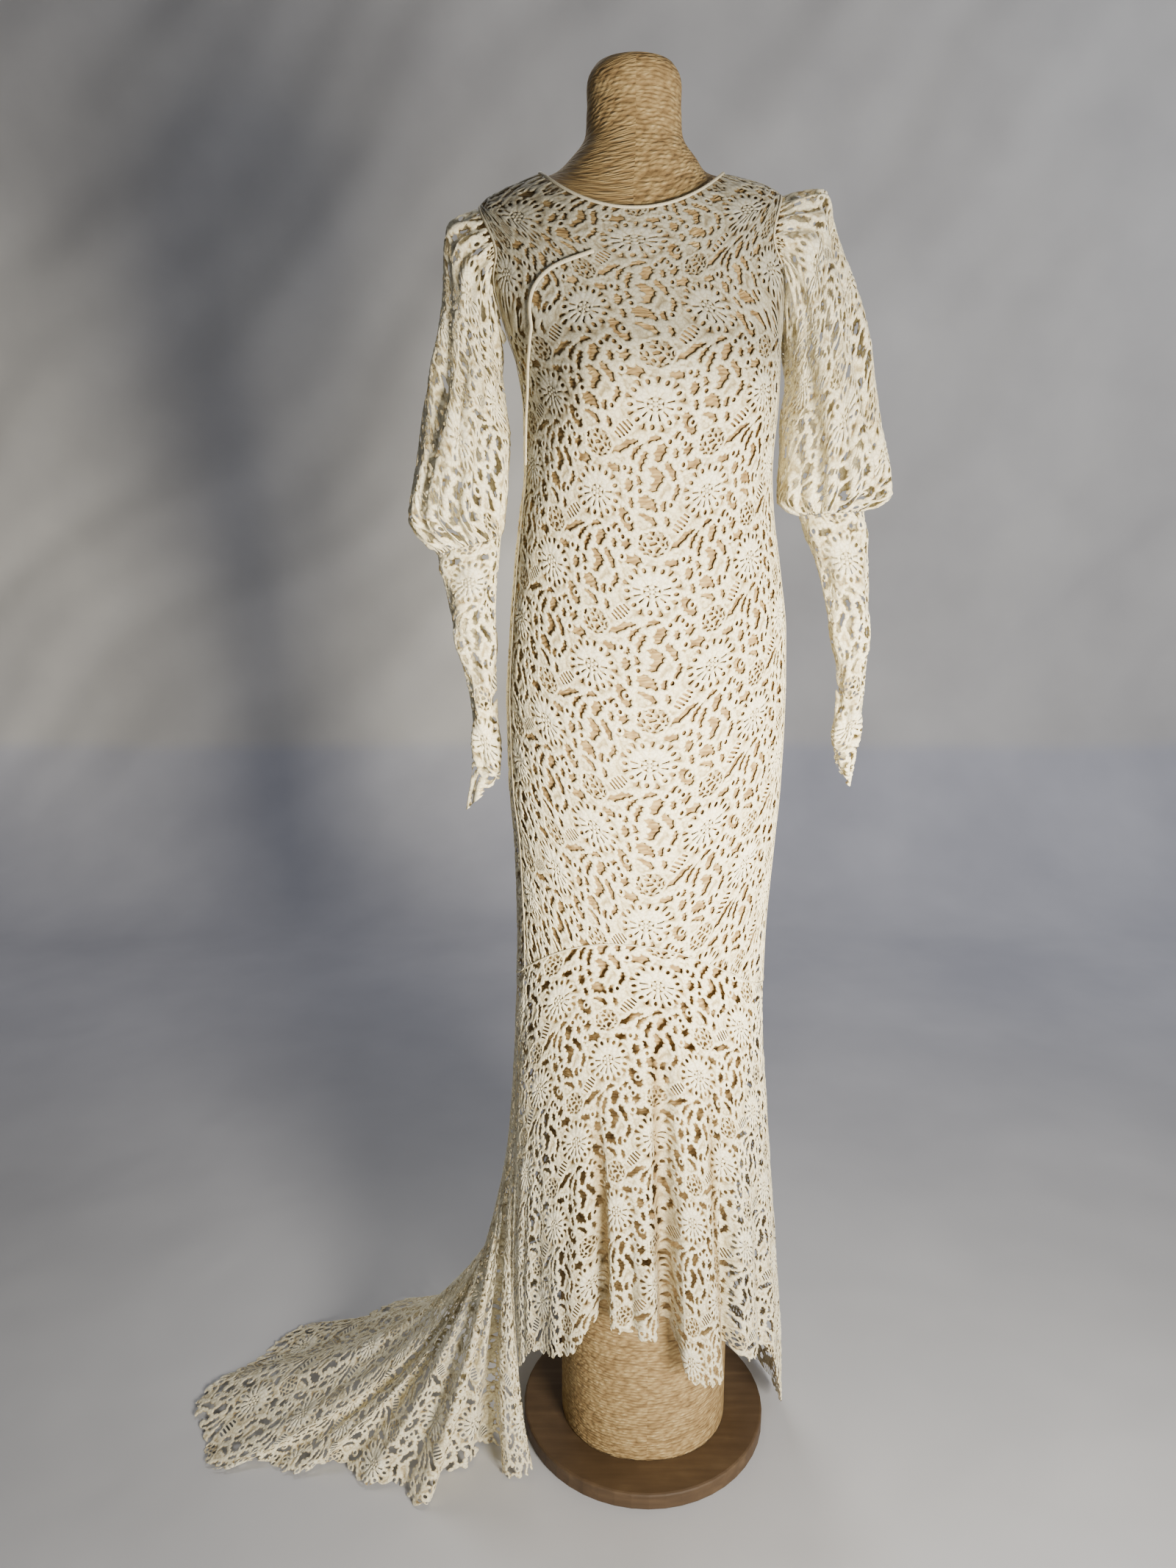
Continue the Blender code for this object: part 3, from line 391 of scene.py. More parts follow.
def smooth(table, column, at):
    """A table's column, read along its first column as a curve that doesn't overshoot."""
    rows = sorted(table)
    x = np.array([row[0] for row in rows])
    y = np.array([row[column] for row in rows])
    step = np.diff(x)
    slope = np.diff(y) / step
    tangent = np.empty(len(x))
    tangent[0], tangent[-1] = slope[0], slope[-1]
    turns = slope[:-1] * slope[1:] <= 0
    mean = 2 * slope[:-1] * slope[1:] / np.where(turns, 1, slope[:-1] + slope[1:])
    tangent[1:-1] = np.where(turns, 0, mean)
    at = np.clip(np.asarray(at, float), x[0], x[-1])
    i = np.clip(np.searchsorted(x, at) - 1, 0, len(step) - 1)
    h = step[i]
    f = (at - x[i]) / h
    return hermite(y[i], y[i + 1], tangent[i], tangent[i + 1], h, f)


def ease(low, high, at):
    """0 below low, 1 above high, and a soft step between them."""
    f = np.clip((at - low) / (high - low), 0, 1)
    return f * f * (3 - 2 * f)


def bell(at, centre, half):
    """A smooth hump of height 1."""
    return np.exp(-(((at - centre) / half) ** 2))


def squared(value, power):
    """A power that keeps the sign, which squares a round section a little."""
    return np.sign(value) * np.abs(value) ** power


def section(table, angle, height):
    """A point on the section of a table at a height, front and back depths being unlike."""
    turn = np.radians(angle)
    left, right, front, back = (smooth(table, i, height) for i in (1, 2, 3, 4))
    side, ahead = squared(np.sin(turn), 0.92), squared(np.cos(turn), 0.92)
    depth = np.where(ahead > 0, front, back)
    return np.stack([(left + right) / 2 + (right - left) / 2 * side, -depth * ahead, height], -1)


def dipped_ring(row, angle, power, roundness, sag):
    """A ring that dips at the front and the back; the powers shape its sides, depth and dips."""
    centre, half, front_deep, back_deep, height, front_dip, back_dip = row
    turn = np.radians(angle)
    ahead = np.cos(turn)
    front, back = np.maximum(ahead, 0), np.maximum(-ahead, 0)
    x = centre + half * squared(np.sin(turn), power)
    y = back_deep * back**roundness - front_deep * front**roundness
    return np.stack([x, y, height - front_dip * front ** sag[0] - back_dip * back ** sag[1]], -1)


def yoke(angle, fraction):
    """The shoulders, from the neckline at fraction 0 to the underarm at 1."""
    side = np.sin(np.radians(angle))
    neck = dipped_ring(NECKLINE, angle, 1.0, 1.0, (1.6, 1.0))
    shoulder = dipped_ring(SHOULDER, angle, 0.8, 0.9, (1.5, 1.5))
    shoulder[..., 2] += SHOULDER_TILT * side
    low = section(SECTIONS, angle, np.full(np.shape(angle), UNDERARM_Z))
    pull = (1 + SHOULDER_PULL * side**6)[..., None]
    f = np.asarray(fraction)[..., None]
    a, b, c = (1 - f) ** 2, 2 * f * (1 - f) * pull, f * f
    return (a * neck + b * shoulder + c * low) / (a + b + c)


def swell(row, middle, angle, height):
    """How far a pair of rounded parts stands out, one either side of a middle angle."""
    away, half, at, half_height, size = row
    from_middle = (angle - middle + 180) % 360 - 180
    pair = bell(from_middle, -away, half) + bell(from_middle, away, half)
    return size * pair * bell(height, at, half_height)


def torso(angle, depth):
    """The cloth's outer side over the figure, from the neckline down."""
    angle, depth = np.broadcast_arrays(np.asarray(angle, float), np.asarray(depth, float))
    height = UNDERARM_Z + YOKE_DEPTH - depth
    above = yoke(angle, np.clip(depth / YOKE_DEPTH, 0, 1))
    below = section(SECTIONS, angle, np.minimum(height, UNDERARM_Z))
    point = np.where((depth < YOKE_DEPTH)[..., None], above, below)
    full = swell(BUST, BODY_TURN, angle, height) + swell(SEAT, BODY_TURN + 180, angle, height)
    out = np.stack([np.sin(np.radians(angle)), -np.cos(np.radians(angle)), np.zeros(np.shape(angle))], -1)
    return point + out * full[..., None]


def knee_height(angle):
    """The arched seam that the flounce hangs from."""
    across = np.cos(np.radians(np.asarray(angle, float) + KNEE_TURN))
    return KNEE_SIDE + KNEE_RISE * across**2


def knee_depth(angle):
    """How far down the torso the knee seam lies, as the torso counts its depth."""
    return UNDERARM_Z + YOKE_DEPTH - knee_height(angle)


def armhole(depth):
    """How far in front of the side the armhole's edge lies, in degrees."""
    f = np.clip((np.asarray(depth, float) - SHOULDER_DEPTH) / (YOKE_DEPTH - SHOULDER_DEPTH), 0, 1)
    return ARMHOLE_TURN * np.sin(np.pi * f) ** 0.75


def side_angle(depth, side):
    """The side seam's angle, which creeps forward below the underarm."""
    creep = ease(YOKE_DEPTH, YOKE_DEPTH + 0.12, depth)
    if side > 0:
        return 90 - creep * SIDE_CREEP_RIGHT
    return 90 - creep * SIDE_CREEP_LEFT - ease(0.5, 0.95, depth) * SIDE_FALL_LEFT


def front_panel(u, v):
    """From the neckline to the arched knee seam, between the side seams."""
    u, v = np.broadcast_arrays(np.asarray(u, float), np.asarray(v, float))
    side = np.where(u < 0.5, -1, 1)
    share = np.abs(2 * u - 1)
    depth = v * knee_depth(0)
    for _ in range(3):
        edge = np.where(side > 0, side_angle(depth, 1), side_angle(depth, -1)) - armhole(depth)
        angle = side * share * edge
        depth = v * knee_depth(angle)
    return torso(angle, depth)


def back_panel(u, v):
    """From the back neckline to the knee seam; u runs from the right side round to the left."""
    u, v = np.broadcast_arrays(np.asarray(u, float), np.asarray(v, float))
    side = np.where(u < 0.5, -1, 1)
    share = np.abs(2 * u - 1)
    depth = v * knee_depth(0)
    for _ in range(3):
        edge = 180 - np.where(side < 0, side_angle(depth, 1), side_angle(depth, -1)) - armhole(depth)
        angle = 180 + side * share * edge
        depth = v * knee_depth(angle)
    return torso(angle, depth)


def flounce_angle(u):
    """The way round of a point across the flounce, in degrees."""
    return FLOUNCE_LEFT + (FLOUNCE_RIGHT - FLOUNCE_LEFT) * np.asarray(u, float)


def flounce_seam(edge, v):
    """The flounce's left side seam at edge 0 and its right one at 1, from the knee down."""
    angle = float(flounce_angle(edge))
    top, low = knee_height(angle), smooth(FRONT_HEM, 1, angle)
    height = top + v * (low - top)
    column = 1 + 2 * edge
    hung = np.stack([smooth(SIDE_SEAMS, column, height), smooth(SIDE_SEAMS, column + 1, height), height], -1)
    knee = torso(angle, knee_depth(angle)) * np.array([1, 1, 0]) + height[..., None] * np.array([0, 0, 1])
    settle = ease(0.0, 0.3, v)[..., None]
    return knee * (1 - settle) + hung * settle


def front_flounce(u, v):
    """Hangs from the knee seam in deep folds, and its edges follow the side seams."""
    u, v = np.broadcast_arrays(np.asarray(u, float), np.asarray(v, float))
    angle = flounce_angle(u)
    top, hem = knee_height(angle), smooth(FRONT_HEM, 1, angle)
    height = top + v * (hem - top)
    point = section(SECTIONS, angle, height)
    fold = sum(
        depth * bell(angle, at, half) * ease(start, 1.0, v) ** 0.8 for at, half, depth, start in FRONT_FOLDS
    )
    turn = np.radians(angle)
    point = point - np.stack([np.sin(turn), -np.cos(turn), np.zeros(turn.shape)], -1) * fold[..., None]
    for edge, near in ((0, ease(0.13, 0.0, u)), (1, ease(0.90, 1.0, u))):
        angle = flounce_angle(np.full(u.shape, float(edge)))
        top, hem = knee_height(angle), smooth(FRONT_HEM, 1, angle)
        there = section(SECTIONS, angle, top + v * (hem - top))
        point = point + (flounce_seam(edge, v) - there) * near[..., None]
    return point


def train_sheet(u, v):
    """The train with no folds: it falls from the knee seam, then sweeps out along the floor."""
    angle = smooth(TRAIN, 1, u)
    knee = torso(angle, knee_depth(angle))
    hem = np.stack([smooth(TRAIN, i, u) for i in (2, 3, 4)], -1)
    reach = np.linalg.norm((hem - knee)[..., :2], axis=-1)
    near = ease(*TRAIN_NEAR, reach)
    first = knee * TRAIN_FLARE
    first[..., 2] = TRAIN_KNEE_PULL + TRAIN_NEAR_KNEE * near
    second = hem + (knee - hem) * TRAIN_HEM_PULL
    away = np.hypot(second[..., 0], second[..., 1])
    second *= (np.maximum(away, TRAIN_CLEAR) / away)[..., None]
    second[..., 2] = TRAIN_HEM_LIFT + TRAIN_NEAR_HEM * near
    t = v[..., None]
    s = 1 - t
    return s**3 * knee + 3 * t * s * s * first + 3 * t * t * s * second + t**3 * hem


def train(u, v):
    """The train, joined to the side seams, with the soft folds that fan out from the knee."""
    u, v = np.broadcast_arrays(np.asarray(u, float), np.asarray(v, float))
    point = train_sheet(u, v)
    hem = np.stack([smooth(TRAIN, i, np.clip(u + d, 0, 1)) for d in (-0.01, 0.01) for i in (2, 3)], -1)
    along = hem[..., 2:] - hem[..., :2]
    along /= np.linalg.norm(along, axis=-1)[..., None]
    inside_edges = ease(0.0, 0.10, u) * ease(1.0, 0.90, u)
    wave = sum(deep * np.sin(2 * np.pi * count * u + start) for count, deep, start in TRAIN_FOLDS)
    wave = wave * inside_edges * ease(0.18, 0.85, v)
    point = point + np.stack([along[..., 1] * -wave, along[..., 0] * wave, np.zeros(u.shape)], -1)
    for edge, near in ((0, ease(0.06, 0.0, u)), (1, ease(0.94, 1.0, u))):
        there = train_sheet(np.full(u.shape, float(edge)), v)
        point = point + (flounce_seam(edge, v) - there) * near[..., None]
    return point


def gore(start, end):
    """One gore of the train, from start to end of the way round."""

    def surface(u, v):
        return train(start + (end - start) * np.asarray(u, float), v)

    return surface


def sleeve_ring(table, v, turn):
    """A point on a sleeve's ring; turn is 0 on the outer side and half a turn on the inner one."""
    outer = np.stack([smooth(table, 1, v), np.zeros(v.shape), smooth(table, 2, v)], -1)
    inner = np.stack([smooth(table, 3, v), np.zeros(v.shape), smooth(table, 4, v)], -1)
    half = smooth(table, 5, v)
    middle = (outer + inner) / 2
    across = (outer - inner) / 2 * np.cos(turn)[..., None]
    ahead = np.stack([np.zeros(v.shape), -half * np.sin(turn), np.zeros(v.shape)], -1)
    return middle, across + ahead


def puff(table, side, face):
    """One half of a puff sleeve; face 1 is the front half and -1 the back."""

    def surface(u, v):
        u, v = np.broadcast_arrays(np.asarray(u, float), np.asarray(v, float))
        turn = np.pi * u * face
        middle, arm = sleeve_ring(table, v, turn)
        depth = SHOULDER_DEPTH + (YOKE_DEPTH - SHOULDER_DEPTH) * u
        at = side * 90 - side * face * armhole(depth)
        rim = torso(at, depth) + np.array([side * PUFF_OFF, 0, 0])
        rim = rim + (np.array([0, 0, PUFF_MIDDLE_Z]) - rim) * np.array([0, PUFF_DRAWN, PUFF_DRAWN])
        start_middle, start_arm = sleeve_ring(table, np.zeros(v.shape), turn)
        fold = np.zeros(v.shape)
        for at_u, half, share, low, high in PUFF_FOLDS:
            run = ease(low - 0.02, low + 0.25, v) * ease(high + 0.02, high - 0.1, v)
            fold += share * bell(u, at_u, half) * run
        point = middle + arm * (1 - fold)[..., None]
        return point + (rim - start_middle - start_arm) * ease(0.14, 0.0, v)[..., None]

    return surface


def cuff(table, face):
    """One half of a fitted lower sleeve, which ends in a point."""

    def surface(u, v):
        u, v = np.broadcast_arrays(np.asarray(u, float), np.asarray(v, float))
        middle, arm = sleeve_ring(table, v, np.pi * u * face)
        return middle + arm

    return surface


def bust_seam(u, v):
    """A narrow tape on the front panel, along the curved seam."""
    u, v = np.broadcast_arrays(np.asarray(u, float), np.asarray(v, float))
    along = tuple((i / (len(BUST_SEAM) - 1), *row) for i, row in enumerate(BUST_SEAM))
    angle, depth = smooth(along, 1, v), smooth(along, 2, v)
    step = 0.01
    ahead = torso(smooth(along, 1, v + step), smooth(along, 2, v + step))
    behind = torso(smooth(along, 1, v - step), smooth(along, 2, v - step))
    path = ahead - behind
    path /= np.linalg.norm(path, axis=-1)[..., None]
    out = outward(torso, angle, depth, 0.5, 0.002)
    across = np.cross(path, out)
    lift = WALL + SEAM + BUST_SEAM_LIFT
    return torso(angle, depth) + across * ((0.5 - u) * BUST_SEAM_WIDE)[..., None] + out * lift


def outward(surface, u, v, step_u=1e-4, step_v=1e-4):
    """The unit normal of a surface whose u runs to the right as seen from outside and v down."""
    over = surface(u + step_u, v) - surface(u - step_u, v)
    down = surface(u, v + step_v) - surface(u, v - step_v)
    normal = np.cross(down, over)
    return normal / np.maximum(np.linalg.norm(normal, axis=-1), 1e-12)[..., None]


class Flat:
    """The piece laid flat as a sector: real widths at its top and hem, and its length at each u."""

    def __init__(self, surface):
        u, v = np.meshgrid(np.linspace(0, 1, 161), np.linspace(0, 1, 81))
        point = surface(u, v)
        width = np.linalg.norm(np.diff(point, axis=1), axis=-1).sum(1)
        self.u, self.v, self.width = u[0], v[:, 0], width
        self.length = np.linalg.norm(np.diff(point, axis=0), axis=-1).sum(0)
        self.mean = self.length.mean()
        slope, top = np.polyfit(v[:, 0], width, 1)
        self.top, self.spread = max(top, 0.02), slope / self.mean

    def to_uv(self, x, y):
        """The surface's u and v under a flat point."""
        if abs(self.spread) < 0.02:
            u = 0.5 + x / self.top
            return u, y / np.interp(u, self.u, self.length)
        sign = math.copysign(1, self.spread)
        start = self.top / self.spread
        u = 0.5 + np.arctan2(x, sign * (y + start)) / abs(self.spread)
        away = sign * np.hypot(x, y + start) - start
        return u, away / np.interp(u, self.u, self.length)


def figure_rings(angle):
    """The dress form's rings from the neck's top to the column's foot."""
    rings = []
    for height, left, right, front, back, dip in NECK:
        row = ((left + right) / 2, (right - left) / 2, front, back, height, dip, 0.0)
        rings.append(dipped_ring(row, angle, 1.0, 1.0, (1.6, 1.0)))
    on_ridge = 1 - ease(0, 25, np.abs(np.abs((angle + 180) % 360 - 180) - 90))
    for depth in FIGURE_DEPTHS:
        at = np.full(angle.shape, depth)
        slack = YOKE_GAP + (FIGURE_GAP - YOKE_GAP) * ease(0.05, 0.15, depth)
        slack = slack - (YOKE_GAP - SHOULDER_GAP) * on_ridge * bell(depth, 0.035, 0.018)
        normal = outward(torso, angle, at, 0.5, 0.0015)
        rings.append(torso(angle, at) - normal * (WALL + slack)[..., None])
    for row in COLUMN:
        rings.append(section(COLUMN, angle, np.full(angle.shape, row[0])))
    return np.array(rings)


def images():
    """The lattice steps round one repeat, in millimetres."""
    steps = [(i, j) for j in (-1, 0, 1) for i in range(-2, 3)]
    return [(i * WIDE + j * WIDE / 2, j * DEEP) for i, j in steps]


def wave(x, y, m, n, start=0.0):
    """A sine that repeats with the lattice."""
    return np.sin(2 * math.pi * (m * x / WIDE + (n - m / 2) * y / DEEP + start))


class Cloth:
    """A field over a grid: how far inside the lace a point is, and how raised it is."""

    def __init__(self, x, y):
        self.x, self.y = x, y
        self.inside = np.full(x.shape, 9.0)
        self.high = np.zeros(x.shape)

    def put(self, d, height, round_over=1.6, over=False):
        """Lay a shape down: d is the distance inside it, and its edges are rounded over."""
        rise = np.clip(d / round_over, 0, 1)
        h = height * np.sqrt(np.clip(1 - (1 - rise) ** 2, 0, 1))
        raised = h if over else np.maximum(self.high, h)
        self.high = np.where(d > 0, raised, self.high)
        self.inside = np.maximum(self.inside, d)

    def cut(self, d):
        """Take a shape away."""
        self.inside = np.minimum(self.inside, -d)

    def sink(self, d, depth, soft=0.9):
        """Press a shape down without a hole."""
        self.high = self.high - depth * np.clip(d / soft, 0, 1)


def near(x, y, cx, cy):
    """Offsets from the nearest image of a point in the lattice."""
    best_x, best_y = x - cx, y - cy
    best = np.hypot(best_x, best_y)
    for ox, oy in images():
        dx, dy = x - cx - ox, y - cy - oy
        closer = np.hypot(dx, dy) < best
        best_x, best_y = np.where(closer, dx, best_x), np.where(closer, dy, best_y)
        best = np.minimum(best, np.hypot(dx, dy))
    return best_x, best_y


def turned(dx, dy, turn):
    """Offsets along and across a direction in degrees."""
    c, s = math.cos(math.radians(turn)), math.sin(math.radians(turn))
    return dx * c + dy * s, -dx * s + dy * c


def lobed_gap(dx, dy, long, slim):
    """The distance outside an ellipse with round lobes along its rim, and how domed each lobe is."""
    around = np.linspace(0, 2 * math.pi, 97)
    step = np.hypot((long + LOBE_OUT) * np.sin(around), (slim + LOBE_OUT) * np.cos(around))
    along = np.concatenate([[0], np.cumsum((step[1:] + step[:-1]) / 2) * around[1]])
    count = round(along[-1] / LOBE_PACE)
    away = (np.hypot(dx / long, dy / slim) - 1) * slim
    dome = np.zeros(dx.shape)
    for way in np.interp((np.arange(count) + 0.5) * along[-1] / count, along, around):
        r = np.hypot(dx - (long + LOBE_OUT) * math.cos(way), dy - (slim + LOBE_OUT) * math.sin(way))
        away = np.maximum(away, LOBE - r)
        dome = np.maximum(dome, 1 - (r / LOBE) ** 2)
    return away, dome


def bar(dx, dy, turn, long, slim):
    """A rounded bar of half length long and half width slim."""
    a, b = turned(dx, dy, turn)
    return slim - np.hypot(np.maximum(np.abs(a) - (long - slim), 0), b)


def petals(dx, dy, count, start, inner, outer, slim, fat):
    """The distance inside the nearest of a ring of petals that widen outwards."""
    angle = np.arctan2(dy, dx) - start
    step = 2 * math.pi / count
    local = (angle + step / 2) % step - step / 2
    r = np.hypot(dx, dy)
    a, b = r * np.cos(local), r * np.sin(local)
    t = np.clip((a - inner) / (outer - inner), 0, 1)
    return slim + (fat - slim) * t - np.hypot(a - (inner + (outer - inner) * t), b), a, b


def reach_of(shape, away):
    """How far an ellipse (x, y, turn, long, slim) reaches along an offset."""
    c, s = np.cos(np.radians(shape[..., 2])), np.sin(np.radians(shape[..., 2]))
    a, b = away[..., 0] * c + away[..., 1] * s, -away[..., 0] * s + away[..., 1] * c
    return np.linalg.norm(away, axis=-1) / (np.hypot(a / shape[..., 3], b / shape[..., 4]) + 1e-9)


def gap_shapes():
    """The gaps as x, y, turn, half length and half width, pushed apart until ribbons fit between them."""
    rng = np.random.default_rng(GAP_SEED)
    steps = np.array(images())
    shape = np.empty((GAPS, 5))
    shape[:, :2] = rng.uniform((0, 0), (WIDE, DEEP), (GAPS, 2))
    lean = rng.uniform(-24, 24, GAPS)
    shape[:, 3] = rng.uniform(*GAP_LONGS, GAPS)
    shape[:, 4] = rng.uniform(*GAP_SLIMS, GAPS)
    still = [NAMED_GAP, FLOWER, ROSETTE] + [(cx, cy, LADDER_ROOM) for cx, cy, _ in LADDERS]
    for pass_ in range(600):
        fx, fy = near(shape[:, 0], shape[:, 1], *FLOWER[:2])
        beside = np.hypot(fx, fy) < FLOWER[2] + 13
        flow = 98 + 30 * wave(shape[:, 0], shape[:, 1], 1, 1, 0.2)
        shape[:, 2] = np.where(beside, np.degrees(np.arctan2(fy, fx)) + 90, flow) + lean
        away = shape[:, None, None, :2] - shape[None, :, None, :2] - steps
        r = np.linalg.norm(away, axis=-1)
        r = np.where(r < 1e-6, np.inf, r)
        room = reach_of(shape[:, None, None], away) + reach_of(shape[None, :, None], away) + RIBBON
        short = np.clip(room - r, 0, None)
        push = (away * (short / r)[..., None]).sum((1, 2)) * 0.25
        worst = short.max((1, 2))
        for cx, cy, size in still:
            away = shape[:, None, :2] - (cx, cy) - steps
            r = np.maximum(np.linalg.norm(away, axis=-1), 0.5)
            short = np.clip(reach_of(shape[:, None], away) + size + RIBBON - r, 0, None)
            push += (away * (short / r)[..., None]).sum(1) * 0.5
            worst = np.maximum(worst, short.max(1))
        shape[:, :2] += np.clip(push, -2, 2)
        if pass_ > 300:
            shape[:, 3:] -= (np.clip(worst, 0, 4) * 0.004)[:, None]
    return shape


def ground(x, y):
    """The ground of ribbons: how far inside them each point is, and how domed their lobes are."""
    bent_x = x + 3.2 * wave(x, y, 0, 2, 0.10) + 1.7 * wave(x, y, 3, 2, 0.10) + 0.9 * wave(x, y, 1, 5, 0.30)
    bent_y = y + 1.5 * wave(x, y, 4, -1, 0.35) + 0.8 * wave(x, y, 5, 4, 0.60)
    inside, dome = np.full(x.shape, 9.0), np.zeros(x.shape)
    shapes = [(*shape, bent_x, bent_y) for shape in gap_shapes()]
    shapes.append((*NAMED_GAP[:2], *NAMED_GAP_SHAPE, x, y))
    for cx, cy, turn, long, slim, px, py in shapes:
        dx, dy = near(px, py, cx, cy)
        away, lobe = lobed_gap(*turned(dx, dy, turn), long, slim)
        inside, dome = np.minimum(inside, away), np.maximum(dome, lobe)
    return inside, dome


def lace(x, y):
    """One repeat of the lace: flowers, net rosettes, ladders and eyelets in a scalloped ground."""
    cloth = Cloth(x, y)
    cloth.inside, dome = ground(x, y)
    rise = np.sqrt(np.clip(1 - (1 - np.clip(cloth.inside / 1.5, 0, 1)) ** 2, 0, 1))
    vein = np.exp(-(((cloth.inside - 4.1) / 0.9) ** 2))
    cloth.high = 0.04 + 0.42 * rise + 0.50 * dome - 0.34 * vein - 0.36 * np.clip((dome - 0.70) / 0.30, 0, 1)
    # eyelets
    for cx, cy, size in EYELETS:
        ex, ey = near(x, y, cx, cy)
        d = size - np.hypot(ex, ey * 0.88)
        cloth.sink(d + 0.9, 0.3, 0.7)
        cloth.put(d, 0.95, 1.5, over=True)
        cloth.sink(d - 2.2, 0.5)
        cloth.cut(2.1 - np.hypot(ex, ey * 0.8))
    # ladders
    for cx, cy, turn in LADDERS:
        lx, ly = near(x, y, cx, cy)
        cloth.put(bar(lx, ly, turn + 90, 13.0, 8.2), 0.66, 1.6, over=True)
        for k in (-2, -1, 0, 1, 2):
            ox, oy = -math.sin(math.radians(turn)) * k * 4.4, math.cos(math.radians(turn)) * k * 4.4
            cloth.cut(bar(lx - ox, ly - oy, turn, 6.4 - 0.5 * k * k, 1.15))
    # rosette
    rx, ry = near(x, y, *ROSETTE[:2])
    r = np.hypot(rx, ry)
    way = np.arctan2(ry, rx)
    cloth.sink(18.4 - r, 0.3)
    cloth.cut(14.0 - r - 1.1 * np.cos(5 * way))
    cloth.put(1.7 - np.abs(r - 15.4 - 1.1 * np.cos(5 * way) - 0.5 * np.cos(14 * way)), 0.8, 1.3, over=True)
    for turn in (0.5, 1.6, 2.6):
        thread = rx * math.cos(turn) + ry * math.sin(turn)
        thread = np.abs((thread + 1.2 * np.sin(0.35 * (ry - rx) + turn)) % 6.2 - 3.1)
        cloth.put(np.minimum(0.85 - thread, 15.4 - r), 0.5, 0.9)
    # flower
    fx, fy = near(x, y, *FLOWER[:2])
    r = np.hypot(fx, fy)
    way = np.arctan2(fy, fx)
    cloth.sink(28.6 - r, 0.3, 1.2)
    cloth.put(20.5 - r, 0.35, 1.4)
    d, a, b = petals(fx, fy, 9, 0.25, 17.5, 22.0, 4.4, 6.0)
    cloth.put(d, 0.92, 2.0, over=True)
    cloth.sink(3.9 - np.hypot((a - 22.6) * 0.86, b), 0.5, 1.2)
    cloth.cut(2.1 - np.hypot((a - 22.6) * 0.7, b))
    cloth.cut(petals(fx, fy, 9, 0.25 + math.pi / 9, 22.0, 26.0, 0.9, 1.9)[0])
    d, a, b = petals(fx, fy, 13, 0.1, 8.4, 15.4, 1.7, 3.3)
    cloth.put(d, 1.0, 1.5, over=True)
    slit = petals(fx, fy, 13, 0.1 + math.pi / 13, 10.4, 16.4, 0.55, 1.0)[0]
    cloth.cut(np.minimum(slit, 1.0 + 3.0 * np.sin(way)))
    cloth.cut(7.2 - r)
    cloth.put(petals(fx, fy, 6, 0.5, 4.7, 4.9, 2.2, 2.2)[0], 0.95, 1.4)
    cloth.put(np.minimum(0.7 - np.abs(petals(fx, fy, 6, 0.5, 1, 9, 0.7, 0.7)[2]), 9 - r), 0.5, 0.8)
    cloth.put(2.0 - r, 1.0, 1.3, over=True)
    return cloth


def marching(field, step):
    """The zero line of a grid's field as open and closed runs of points."""
    on = field > 0
    across = {}
    points = []

    def crossing(j, i, down):
        key = (j, i, down)
        if key not in across:
            a = field[j, i]
            b = field[j + 1, i] if down else field[j, i + 1]
            t = min(max(a / (a - b), 0.02), 0.98)
            across[key] = len(points)
            points.append((i * step, (j + t) * step) if down else ((i + t) * step, j * step))
        return across[key]

    case = on[:-1, :-1] * 1 + on[:-1, 1:] * 2 + on[1:, 1:] * 4 + on[1:, :-1] * 8
    pairs = {
        1: "LT", 2: "TR", 3: "LR", 4: "RB", 6: "TB", 7: "LB",
        8: "BL", 9: "BT", 11: "BR", 12: "RL", 13: "RT", 14: "TL",
    }
    edges = {"T": (0, 0, False), "B": (1, 0, False), "L": (0, 0, True), "R": (0, 1, True)}
    links = {}
    for j, i in zip(*np.nonzero((case > 0) & (case < 15))):
        kind = int(case[j, i])
        sides = pairs.get(kind) or ("LTRB" if kind == 5 else "TRBL")
        ids = []
        for side in sides:
            below, right, down = edges[side]
            ids.append(crossing(j + below, i + right, down))
        for a, b in zip(ids[::2], ids[1::2]):
            links.setdefault(a, []).append(b)
            links.setdefault(b, []).append(a)
    runs = []
    starts = [a for a, ends in links.items() if len(ends) == 1] + list(links)
    used = set()
    for start in starts:
        if start in used:
            continue
        run = [start]
        used.add(start)
        while True:
            ahead = [b for b in links[run[-1]] if b not in used]
            if not ahead:
                break
            run.append(ahead[0])
            used.add(ahead[0])
        closed = len(links[start]) == 2 and run[-1] in links[start] and len(run) > 2
        runs.append((np.array([points[a] for a in run]), closed))
    return runs


def thinned(run, closed, slack, longest):
    """A run with the points that lie within the slack of a straight line left out."""
    if closed:
        run = np.concatenate([run, run[:1]])
        far = int(np.argmax(np.linalg.norm(run - run[0], axis=1)))
        parts = [(0, far), (far, len(run) - 1)]
    else:
        parts = [(0, len(run) - 1)]
    keep = {0, len(run) - 1}
    while parts:
        a, b = parts.pop()
        keep |= {a, b}
        if b - a < 2:
            continue
        line = run[b] - run[a]
        size = max(np.hypot(*line), 1e-9)
        away = run[a + 1:b] - run[a]
        off = np.abs(line[0] * away[:, 1] - line[1] * away[:, 0]) / size
        worst = int(np.argmax(off))
        if off[worst] > slack or size > longest:
            middle = a + 1 + (worst if off[worst] > slack else (b - a) // 2 - 1)
            parts += [(a, middle), (middle, b)]
    kept = run[sorted(keep)]
    return kept[:-1] if closed else kept


